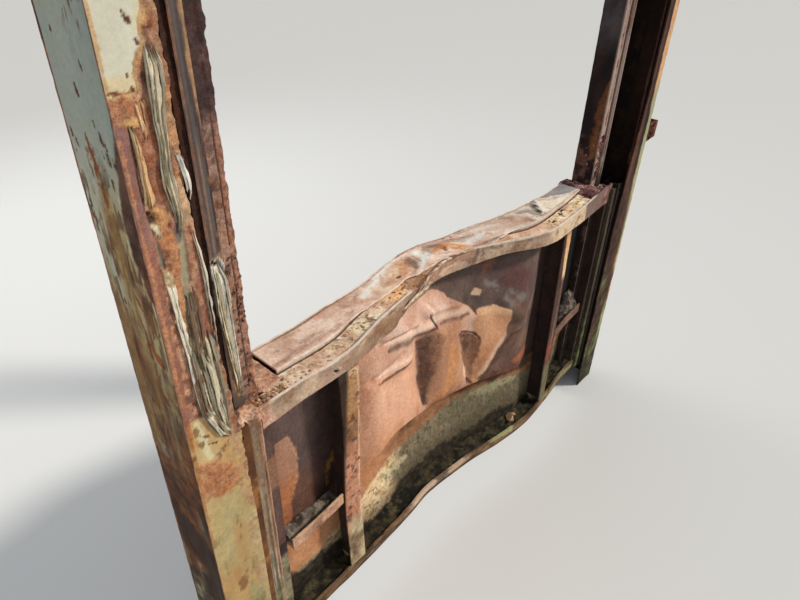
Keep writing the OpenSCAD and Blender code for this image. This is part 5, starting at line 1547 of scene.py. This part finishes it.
def shelf(c):
    c.lay([(150, 112, 90), (182, 140, 114), (206, 166, 138)], 1, .7, scale=16)
    c.lay([(224, 188, 150)], c.span(c.z, 776, 800, 8) * .6, .5)
    floor = c.span(c.z, 700, 742, 4) * ease((c.p[:, 1] - LEAF_Y - bow_mid(c.p[:, 0]) - .018) / .003)
    c.lay([(150, 128, 112), (186, 164, 146), (214, 194, 176)], floor, 1, scale=40, gain=2.0)
    c.lay([(96, 80, 68)], floor * c.patch(44, .15, .45, 7) * .7)
    c.lay([(110, 76, 60)], c.patch(14, .2, .6, 5) * .5)
    # Right shelf darker: painted shade
    c.lay([(88, 66, 58), (112, 84, 74)], (c.x > 0) * (1 - floor) * .8)
    c.h += .0010 * c.n(24, 6)


REACH = .65 * LEAN + RIB_W / 2 + .001
for name, a, b, sd in (("left", -SKIN_X, RIB_L - .051, 59), ("right", RIB_R + REACH, SKIN_X, 61)):
    piece("shelf_" + name, rings_along("x", shelf_section, np.linspace(a, b, 60), .007), shelf, "leaf",
          name + "_shelf", seed=sd)


def trough_section(x):
    f = float(bow_foot(x))
    y, b, z = LEAF_Y + FOOT_T + f, LEAF_Y + LEAF_D + f + T, TROUGH_Z
    return [(y, z - T), (y, z), (b, z), (b, z - T)]


def trough(c):
    c.lay(MUD, scale=20)
    c.lay(MOSS, c.patch(12, .2, .6, 3) * .6)


piece("trough_floor", rings_along("x", trough_section, np.linspace(-SKIN_X, SKIN_X, 240), .012), trough,
      "leaf", "bottom_beam", seed=67)


def strip_section(x):
    y = LEAF_Y + float(bow_foot(x))
    j = .0035 * float(fbm(np.array([[x, 0, 0]]), 14, 4, 8)[0]) - .002
    return [(y, LEAF_LOW), (y, LEAF_LOW + STRIP_H + j), (y + FOOT_T, LEAF_LOW + STRIP_H + j),
            (y + FOOT_T, LEAF_LOW)]


def strip(c):
    c.lay([(84, 62, 44), (126, 98, 70), (160, 132, 98)], 1, .8, scale=18, stretch=(.4, 1, 1), gain=1.6)
    c.lay([(190, 160, 136), (214, 188, 164)], c.span(c.x, -420, 60, 90, 40) * c.span(c.z, 225, 280, 14)
          * .85, .4)
    c.lay([(140, 142, 96), (172, 170, 124)], c.near([[250, 266], [420, 262]], [10, 26], wobble=.8) * .9, .4)
    c.lay([(122, 120, 84), (156, 152, 112)], c.span(c.x, 440, 1400, 120, 60)
          * c.patch(12, -.4, .3, 4, (.4, 1, 1)) * .8, .5)
    c.lay(MUD, c.patch(16, .2, .6, 5, (.4, 1, 1)) * .7)
    c.lay([(60, 36, 28)], c.span(c.z, 190, 216, 10, 8) * .6)
    c.h += .0014 * c.n(20, 6, 4, (.6, 1, 1))


piece("foot_strip", rings_along("x", strip_section, np.linspace(-BEAM_X, BEAM_X, 400),
                                [.007, .006, .007, .02]), strip, "leaf", "bottom_strip",
      seed=71)

END_L = [(-1.291, .045), (-1.267, .045), (-1.267, .105), (-1.190, .105), (-1.190, .150), (-1.198, .150),
         (-1.198, .113), (-1.275, .113), (-1.275, .053), (-1.291, .053)]
END_R = [(-1.300, .045), (-1.250, .045), (-1.250, .099), (-1.190, .099), (-1.190, .150), (-1.198, .150),
         (-1.198, .107), (-1.258, .107), (-1.258, .053), (-1.300, .053)]


def end_plate(c):
    c.lay([(104, 72, 56), (140, 100, 76), (168, 126, 100)], 1, .9, scale=18, stretch=(1, 1, .4))
    # Where the plate steps back on the left it takes the left bay's dark tone as painted shade, with a
    # lighter band across it
    c.lay([(74, 60, 60), (92, 74, 72)], c.span(c.y, 90, 160, 4) * (c.x < 0) * .8, .7)
    c.lay([(150, 106, 78), (176, 130, 98)], c.span(c.y, 90, 160, 4) * (c.x < 0)
          * c.span(c.z, 1090, 1240, 30, 20) * .6, .7)
    c.lay([(206, 176, 148)], c.span(abs(c.x), 1262, 1272, 3) * c.span(c.y, 40, 52, 3) * .6, .5)
    c.h += .0012 * c.n(34, 5)
    c.lay(SLIME, c.span(c.z, 0, 620, 200, 80) * .6, .6)
    # Right end plate near black: painted shade
    c.lay([(18, 12, 10), (32, 22, 18)], (c.x > 0) * .93, .8)
    c.lay([(110, 84, 76), (130, 102, 92)], (c.x > 0) * c.near([[1197, 1440], [1197, 900], [1197, 400]], 5,
            wobble=.7) * (c.y > 95) * .7, .5)


for side, flip, sec, top in (("left", False, END_L, END_TOP), ("right", True, END_R, LEAF_TOP - BEAM_H)):
    r = rings_along("z", lambda z: sec, np.linspace(LEAF_LOW + STRIP_H, top, 190), .008)
    piece("end_upright_" + side, mirror(r) if flip else r, end_plate, "leaf", side + "_end_plate",
          seed=73 + flip)


def timber_box(z):
    j = [.0022 * float(fbm(np.array([[k, 0, z]]), 9, 4, 60 + k)[0]) for k in range(3)]
    return [(TIMBER_OUT, .025 + abs(j[0])), (TIMBER_OUT, TIMBER_BACK), (TIMBER_IN, TIMBER_BACK),
            (TIMBER_IN, .025 + abs(j[1]))]


def timber(c):
    c.lay([(104, 92, 76), (140, 126, 104), (176, 162, 138)], 1, .5, scale=16, stretch=(1, 1, .06), gain=2.0)
    c.lay([(70, 58, 46)], c.patch(60, .2, .5, 3, (1, 1, .03)) * .8, .8, -.0012)
    c.lay([(196, 184, 160)], c.patch(40, .3, .7, 4, (1, 1, .04)) * .6, .3)
    c.lay([(120, 84, 58)], c.patch(8, .1, .6, 5, (1, 1, .3)) * .5)
    c.lay([(92, 56, 30), (116, 72, 40)], ease((-1327.5 - c.x) / 1.5 + .5) * .9, .7)
    # Right plank near black: painted shade
    c.lay([(24, 18, 15), (44, 34, 28)], (c.x > 0) * .85, .8)
    c.lay([(74, 70, 52)], (c.x > 0) * c.near([[1312, 1300], [1310, 700], [1312, 300]], 5, wobble=.9) * .7, .6)
    c.lay(MOSS, c.span(c.z, 0, 620, 260, 80) * .6)
    c.h += .0010 * c.n(50, 6, 4, (1, 1, .04))


both_sides("seal_plank", rings_along("z", timber_box, np.linspace(LEAF_LOW, LEAF_TOP - .030, 300), .005),
           timber, "leaf", "seal_timber", 79)


def torn_rings():
    """The lip's torn edge: a narrow twisted strip that comes off the beam and hangs down at its left end."""
    path = np.array([[-464, 1512], [-425, 1524], [-380, 1536], [-340, 1548], [-310, 1566], [-285, 1576],
                     [-240, 1579], [-160, 1578], [-60, 1577], [40, 1577], [TORN_B * 1000, 1576]]) / 1000
    out, n = [], 9
    for u in np.linspace(0, 1, 190):
        x, z = along_path(path * 1000, [u])[0]
        w = (.010 + .007 * float(ease(u * 3)) * float(ease((1 - u) * 2))) * (1 + .22
                * float(fbm(np.array([[x, 0, 0]]), 34, 4, 3)[0]))
        a = math.radians(86 - 60 * float(ease(u * 3 - .9)))
        y = LEAF_Y + float(bow_top(x)) - .003 - .012 * float(ease(u * 4)) * float(ease((1 - u) * 3))
        k = np.linspace(-.5, .5, n)[:, None]
        mid = np.array([x, y, z + .002 * float(fbm(np.array([[x, 0, 0]]), 44, 3, 8)[0])])
        side = np.array([0, -math.cos(a), math.sin(a)])
        off = np.array([0, math.sin(a), math.cos(a)])
        p = mid + k * w * side + .0022 * np.cos(k * 5) * off
        out.append(np.concatenate([p, (p + .0035 * off)[::-1]]))
    return np.array(out)


def torn(c):
    c.lay([(146, 122, 100), (186, 162, 138), (226, 208, 186)], 1, .6, scale=40, gain=2.0)
    c.lay([(96, 72, 58)], c.patch(60, .2, .5, 4, (.3, 1, 1)) * .8)
    c.h += .0008 * c.n(70, 5)


piece("torn_edge", torn_rings(), torn, "leaf", "torn_strip", seed=83, sharp=60)
sheaf("torn_slivers", [[-470, 1506], [-414, 1520], [-350, 1532], [-300, 1545], [-262, 1568]],
      [[-452, 1530], [-395, 1552], [-345, 1562], [-305, 1578], [-262, 1584]], 3, .004, .003,
      [(206, 186, 160), (150, 120, 96), (120, 92, 74)], "leaf", 84, (.0, .1), 1.0,
      LEAF_Y + float(bow_top(-.45)) - .002, .004, .4)


# Loose sheets of paint and rust on the left post
LATH_L = [[-1448, 2752], [-1454, 2710], [-1460, 2650], [-1463, 2584], [-1461, 2530], [-1466, 2489],
          [-1467, 2435], [-1459, 2394], [-1452, 2359], [-1456, 2309]]
LATH_R = [[-1424, 2756], [-1412, 2700], [-1418, 2650], [-1429, 2607], [-1435, 2546], [-1440, 2481],
          [-1437, 2429], [-1436, 2390], [-1435, 2352], [-1443, 2296]]
SPLINT_L = [[-1514, 2592], [-1516, 2541], [-1517, 2487], [-1517, 2438], [-1516, 2388]]
SPLINT_R = [[-1503, 2590], [-1501, 2531], [-1501, 2472], [-1498, 2421], [-1496, 2384]]
LOW_L = [[-1500, 2000], [-1498, 1940], [-1496, 1872], [-1494, 1796], [-1488, 1733], [-1469, 1676],
         [-1440, 1610], [-1416, 1594]]
LOW_R = [[-1416, 2010], [-1415, 1930], [-1410, 1867], [-1407, 1800], [-1406, 1749], [-1405, 1681],
         [-1407, 1627], [-1400, 1592]]
for name, a, b, n, depth, thick, tones, sd, cuts, lap in (("lath", LATH_L, LATH_R, 7, .013, .0028,
        [(112, 106, 92), (140, 132, 114), (170, 160, 138), (196, 184, 158), (126, 118, 92)], 90, (.06, .10),
        1.6),
        ("splinter", SPLINT_L, SPLINT_R, 3, .009, .0026, [(196, 162, 118), (222, 192, 148), (170, 128, 88)],
         91, (.04, .08), 1.5),
        ("lime_strip", [[-1514, 2236], [-1507, 2143], [-1503, 2047], [-1497, 1954], [-1496, 1872],
                        [-1494, 1796], [-1487, 1720], [-1470, 1676]],
         [[-1494, 2236], [-1490, 2150], [-1486, 2047], [-1482, 1954], [-1481, 1872], [-1479, 1796],
          [-1474, 1733], [-1458, 1686]], 3, .010, .003, [(206, 198, 176), (230, 222, 202), (216, 200, 164)],
         92, (.02, .3), 1.5),
        ("low_bundle", LOW_L, LOW_R, 12, .014, .003,
         [(120, 112, 96), (150, 142, 120), (184, 172, 142), (170, 138, 100), (132, 92, 68), (200, 190, 164),
          (110, 92, 74)], 93, (.25, .22), 1.4),
        ("low_curl", [[-1488, 1733], [-1469, 1686], [-1447, 1622], [-1424, 1594]],
         [[-1462, 1762], [-1446, 1706], [-1424, 1652], [-1396, 1606]], 4, .015, .003,
         [(206, 198, 172), (180, 160, 124), (150, 130, 104)], 94, (.05, .2), 1.6),
        ("edge_high", [[-1421, 2506], [-1414, 2459], [-1408, 2401], [-1410, 2380]],
         [[-1412, 2506], [-1404, 2459], [-1399, 2401], [-1402, 2380]], 2, .009, .003,
         [(226, 220, 206), (206, 196, 176)], 95, (.05, .2), 1.4),
        ("edge_low", [[-1415, 2307], [-1413, 2236], [-1410, 2166], [-1410, 2077], [-1408, 1999],
                      [-1407, 1930]], [[-1406, 2307], [-1403, 2236], [-1400, 2166], [-1400, 2077],
                                       [-1399, 1999], [-1400, 1930]], 2, .009, .003,
         [(228, 222, 208), (200, 188, 168)], 96, (.02, .3), 1.3),
        ("mid_lath", [[-1462, 2160], [-1466, 2080], [-1468, 1990], [-1466, 1900]],
         [[-1436, 2160], [-1434, 2080], [-1434, 1990], [-1436, 1900]], 4, .008, .0026,
         [(132, 118, 96), (156, 134, 104), (120, 92, 74)], 97, (.1, .2), 1.2),
        ("high_lath", [[-1494, 2636], [-1490, 2590], [-1486, 2540]],
         [[-1466, 2640], [-1466, 2600], [-1468, 2550]], 4, .006, .0026,
         [(206, 160, 118), (186, 132, 98), (222, 186, 148)], 98, (.05, .3), 1.1)):
    sheaf("flake_" + name, a, b, n, depth, thick, tones, "frame", sd, cuts, lap)

# Curl of lime on the left wear strip
sheaf("lime_curl", [[-1309, 2116], [-1310, 2040], [-1311, 1960], [-1306, 1860], [-1296, 1740],
                    [-1286, 1600]], [[-1284, 2118], [-1270, 2050], [-1268, 1960], [-1268, 1860],
                                     [-1266, 1740], [-1266, 1600]], 6, .010, .003,
      [(236, 230, 214), (222, 212, 188), (206, 190, 158), (242, 238, 226)], "frame", 120,
      (.05, .3), 1.5, .127)


def heap_coat(c):
    c.lay([(70, 40, 44), (104, 64, 66), (150, 112, 106)], 1, 1, scale=40, gain=1.9)
    c.lay([(196, 170, 140)], c.patch(44, .4, .6, 4) * .7)


def bent_top(c):
    c.lay([(176, 128, 104), (208, 166, 138), (226, 190, 164)], 1, .9, scale=26, gain=1.8)
    c.lay([(104, 66, 48), (130, 86, 62)], c.patch(16, .15, .4, 4) * .8, 1)


def crumple(x, y, k, lo, hi, x0, x1, y0, y1):
    """Height of a crumpled sheet that falls from hi to lo at the edges of its rectangle."""
    q = np.column_stack([x, y, x * 0])
    edge = ease((x - x0) / .012) * ease((x1 - x) / .012) * ease((y - y0) / .010) * ease((y1 - y) / .010)
    return lo + (hi - lo) * edge * (.62 + .38 * fbm(q, 24, 4, k)) + .0012 * fbm(q, 90, 3, k + 1)


slab("beam_cap_left", np.linspace(-1.374, -1.258, 46), np.linspace(.022, .112, 36), lambda x,
     y: crumple(x, y, 3, 1.552, 1.582, -1.376, -1.256, .020, .114), HEAP_LOW, bent_top, "leaf",
     99)


def end_sheet(x, y):
    """Crumpled end of the cover, flat where it slips under the band."""
    return np.where(x > -1.108, 1.546 + .002 * fbm(np.column_stack([x, y, x * 0]), 40, 3, 9),
                    crumple(x, y, 9, 1.552, 1.570, -1.207, -1.104, .110, .320))


def end_coat(c):
    bent_top(c)
    c.lay(DARK, ease((c.x + 1112) / 4), 1)


slab("cover_end_left", np.linspace(-1.205, -1.040, 70), np.linspace(.140, .312, 66), end_sheet, 1.536,
     end_coat, "leaf", 100)
slab("cover_end_right", np.linspace(1.104, 1.205, 44), np.linspace(.128, .290, 60), lambda x,
     y: crumple(x, y, 19, 1.556, 1.576, 1.100, 1.207, .120, .294), 1.548, heap_coat, "leaf",
     102)
slab("scale_heap_right", np.linspace(1.060, 1.204, 48), np.linspace(.054, .142, 40), lambda x,
     y: crumple(x, y, 14, 1.553, 1.578, 1.056, 1.206, .050, .146), HEAP_LOW, heap_coat, "leaf",
     101)


# Grit, crust and stones
def scatter(n, seed, xs, ys, z, size, bow, flat=.6, least=.3, power=1.3, lift=.3):
    """Grains on a floor at z between two distances from the leaf's front, which follows a bow."""
    rng = np.random.default_rng(seed)
    out = []
    for _ in range(n):
        x = rng.uniform(*xs)
        s = size * rng.uniform(least, 1) ** power
        y = LEAF_Y + float(bow(x)) + rng.uniform(*ys)
        out.append((x, y, z + s * lift, s, flat))
    return out


def in_top_trough(n, seed, xs, far, size):
    return scatter(n, seed, xs, (.012, far), LEAF_TOP - SINK, size, bow_top, .6, .4, 1.5, .24)


def on_shelf(n, seed, x0, x1):
    return scatter(n, seed, (x0, x1), (.024, .096), MID_Z, .010, bow_mid, .7)


def grit_coat(c):
    c.lay([(150, 104, 66), (196, 160, 110), (226, 206, 160)], 1, .9, scale=60, gain=2.2)
    c.lay([(70, 46, 34)], c.patch(50, .3, .5, 3) * .8)


rocks("trough_grit", in_top_trough(120, 1, (-1.24, -.60), .094, .007)
      + in_top_trough(70, 2, (-.55, -.10), .094, .007) + in_top_trough(60, 3, (-1.28, -1.12), .066, .012)
      + in_top_trough(60, 4, (.60, 1.05), .09, .007), grit_coat, "leaf", 5)


def dark_grit(c):
    c.lay([(40, 34, 32), (80, 72, 66), (150, 142, 130)], 1, .9, scale=70, gain=2.4)


def ash_grit(c):
    c.lay([(84, 72, 64), (140, 124, 112), (196, 182, 166)], 1, .9, scale=70, gain=2.4)


rocks("shelf_grit", on_shelf(130, 6, -1.17, RIB_L - .07) + on_shelf(90, 7, RIB_R + .07, 1.16), ash_grit,
      "leaf", 9)


def scree(start, stop, rise):
    """Height of the loose scale that lies on a shelf, deeper towards the skin and towards one end."""
    def top(x, y):
        q = np.column_stack([x, y, np.zeros(len(x))])
        back = ease((y - LEAF_Y - bow_mid(x) - .02) / .07)
        return (MID_Z + .002 + rise * ease((x - start) / (stop - start)) * (.35 + .65 * back) + .010 * back
                + .005 * fbm(q, 30, 4, 5) + .003 * fbm(q, 90, 3, 6))
    return top


def scree_coat(c):
    c.lay([(56, 48, 42), (86, 78, 70), (124, 115, 104)], 1, .9, scale=50, gain=2.2)
    c.lay([(84, 76, 68), (140, 130, 118)], (c.x < 0) * .7, .9, scale=50)
    c.lay([(46, 35, 30)], c.patch(30, .2, .5, 3) * .7)


for name, a, b, start, stop, rise, sd in (("left", -1.180, RIB_L - .064, -.90, -1.16, .020, 104),
                                          ("right", RIB_R + .066, 1.184, .96, 1.17, .120, 105)):
    slab("scree_" + name, np.linspace(a, b, 70), lambda x: LEAF_Y + float(bow_mid(x))
         + np.linspace(.018, .098, 30), scree(start, stop, rise), MID_Z + .0005, scree_coat, "leaf",
         sd)


rocks("trough_stones", scatter(160, 8, (-1.15, 1.15), (.022, .092), TROUGH_Z, .014, bow_foot), dark_grit,
      "leaf", 11)


def pale_stone(c):
    c.lay([(150, 116, 90), (186, 152, 122), (206, 176, 146)], 1, .5, scale=30)


rocks("pale_stone", [(.497, LEAF_Y + float(bow_foot(.497)) + .060, .262, .034, .62),
                     (.540, LEAF_Y + float(bow_foot(.540)) + .070, .262, .018, .6)], pale_stone, "leaf",
      12)


def mud_rings():
    out = []
    for x in np.linspace(-1.17, 1.17, 300):
        f = float(bow_foot(x))
        y0, y1 = LEAF_Y + FOOT_T + f + .001, LEAF_Y + LEAF_D + f - .002
        y = np.linspace(y0, y1, 15)
        q = np.column_stack([np.full(15, x), y, np.zeros(15)])
        h = .014 + .008 * fbm(q, 16, 4, 9) + .004 * fbm(q, 60, 3, 10) + .010 * ((y - y0) / (y1 - y0)) ** 2
        top = np.column_stack([np.full(15, x), y, TROUGH_Z + np.clip(h, .004, .034)])
        out.append(np.concatenate([top, np.array([[x, y1, TROUGH_Z + .0002], [x, y0, TROUGH_Z + .0002]])]))
    return np.array(out)


def mud_coat(c):
    c.lay([(22, 20, 16), (40, 36, 26), (66, 60, 42)], 1, .9, scale=34, gain=1.8)
    c.lay([(92, 84, 58)], c.patch(30, .4, .7, 3) * .6)


piece("trough_mud", mud_rings(), mud_coat, "leaf", None, 80, seed=97)


def crust(name, spots, body, tones, seed):
    """Lumps of scaled rust: x, y, z, size, flatness."""
    def paint(c):
        c.lay(tones, 1, 1, scale=40, gain=1.8)
        c.lay([(60, 38, 32)], c.patch(40, .2, .5, 4) * .7)
    rocks(name, spots, paint, body, seed)


def lumps(n, seed, xs, ys, zs, size, flat=1.3):
    rng = np.random.default_rng(seed)
    return [(rng.uniform(*xs), rng.uniform(*ys), rng.uniform(*zs), size * rng.uniform(.45, 1),
             flat) for _ in range(n)]


crust("guide_crust_left", lumps(60, 21, (-1.258, -1.214), (.131, .136), (1.60, 2.10), .006, 1.0)
      + lumps(40, 22, (-1.232, -1.217), (.135, .16), (1.60, 1.72), .009), "frame",
      [(104, 66, 54), (140, 94, 76), (170, 124, 104)], 25)
crust("guide_crust_right", lumps(60, 23, (1.214, 1.262), (.128, .137), (1.60, 1.86), .010)
      + lumps(70, 24, (1.217, 1.226), (.14, .25), (1.60, 1.80), .010), "frame",
      [(92, 54, 46), (138, 92, 84), (176, 136, 126)], 26)
crust("beam_crust_left", lumps(50, 27, (-1.25, -1.13), (LEAF_Y + .008, LEAF_Y + .068), (1.552, 1.556), .009,
                               .6), "leaf", [(160, 112, 90), (200, 152, 124), (224, 188, 162)],
      28)
crust("beam_crust_right", lumps(60, 29, (1.19, 1.29), (LEAF_Y + .004, LEAF_Y + .06), (1.552, 1.558), .012,
                                .6), "leaf", [(86, 58, 56), (128, 94, 90), (176, 148, 140)],
      30)
crust("cleat_crust", lumps(46, 31, (1.556, 1.70), (.024, .036), (1.76, 1.84), .016), "frame",
      [(72, 44, 38), (104, 66, 54), (140, 100, 80)], 32)


# Floor, light and camera
FLOOR_HALF, FLOOR_Z = 60.0, -.002
SUN_DIR, SUN_POWER, SUN_ANGLE = (-.568, .556, -.605), 3.0, 7
LIGHT_AT = (1.5, 0, 1.2)


def stage_floor():
    me = bpy.data.meshes.new("floor")
    s, z = FLOOR_HALF, FLOOR_Z
    me.from_pydata([(-s, -s, z), (s, -s, z), (s, s, z), (-s, s, z)], [], [(0, 1, 2, 3)])
    ob = bpy.data.objects.new("floor", me)
    bpy.context.scene.collection.objects.link(ob)
    g = Nodes("floor_pale")
    me.materials.append(g.done(srgb(214, 214, 212), .8, g.noise(30, 3), .0002))


def area(name, loc, target, size, power, color):
    l = bpy.data.lights.new(name, "AREA")
    l.shape = "DISK"
    l.size, l.energy, l.color = size, power, color
    ob = bpy.data.objects.new(name, l)
    ob.location = loc
    ob.rotation_euler = (Vector(target) - Vector(loc)).to_track_quat("-Z", "Y").to_euler()
    bpy.context.scene.collection.objects.link(ob)


stage_floor()
sun = bpy.data.lights.new("key", "SUN")
sun.energy, sun.angle, sun.color = SUN_POWER, math.radians(SUN_ANGLE), (1.0, .95, .87)
sun_ob = bpy.data.objects.new("key", sun)
sun_ob.rotation_euler = Vector(SUN_DIR).to_track_quat("-Z", "Y").to_euler()
bpy.context.scene.collection.objects.link(sun_ob)
area("fill", (-5.5, -3.5, 4.5), LIGHT_AT, 4.0, 90, (.88, .94, 1.0))
area("back", (1.5, 6.0, 5.0), LIGHT_AT, 4.0, 130, (.95, .97, 1.0))

world = bpy.data.worlds.new("world")
bpy.context.scene.world = world
world.use_nodes = True
wt = world.node_tree
sky = wt.nodes["Background"]
sky.inputs[0].default_value = (.86, .9, .95, 1)
sky.inputs[1].default_value = .42
white = wt.nodes.new("ShaderNodeBackground")
white.inputs[0].default_value = (.94, .94, .94, 1)
both = wt.nodes.new("ShaderNodeMixShader")
lp = wt.nodes.new("ShaderNodeLightPath")
wt.links.new(lp.outputs["Is Camera Ray"], both.inputs[0])
wt.links.new(sky.outputs[0], both.inputs[1])
wt.links.new(white.outputs[0], both.inputs[2])
wt.links.new(both.outputs[0], wt.nodes["World Output"].inputs[0])
bpy.context.scene.view_settings.view_transform = "Standard"

# Solved from the vertical post edges and the level lines of the photograph
YAW, PITCH, ROLL = 49.15, 33.78, -1.36
EYE_X, EYE_Y, EYE_Z = 2.115, 1.286, 3.03
FOCAL_PX, WIDTH_PX, SENSOR = 629.07, 800, 36
yaw, pitch, roll = math.radians(YAW), math.radians(PITCH), math.radians(ROLL)
f = Vector((math.sin(yaw) * math.cos(pitch), math.cos(yaw) * math.cos(pitch), -math.sin(pitch)))
r = Vector((math.cos(yaw), -math.sin(yaw), 0))
d = f.cross(r)
r2 = r * math.cos(roll) + d * math.sin(roll)
d2 = d * math.cos(roll) - r * math.sin(roll)
cam = bpy.data.cameras.new("photo_camera")
cam.sensor_width = SENSOR
cam.lens = FOCAL_PX / WIDTH_PX * SENSOR
cam.clip_start = .05
cam_ob = bpy.data.objects.new("photo_camera", cam)
bpy.context.scene.collection.objects.link(cam_ob)
cam_ob.matrix_world = Matrix.Translation((MID - EYE_X, DY - EYE_Y, EYE_Z)) @ Matrix((r2, -d2,
        -f)).transposed().to_4x4()
bpy.context.scene.camera = cam_ob
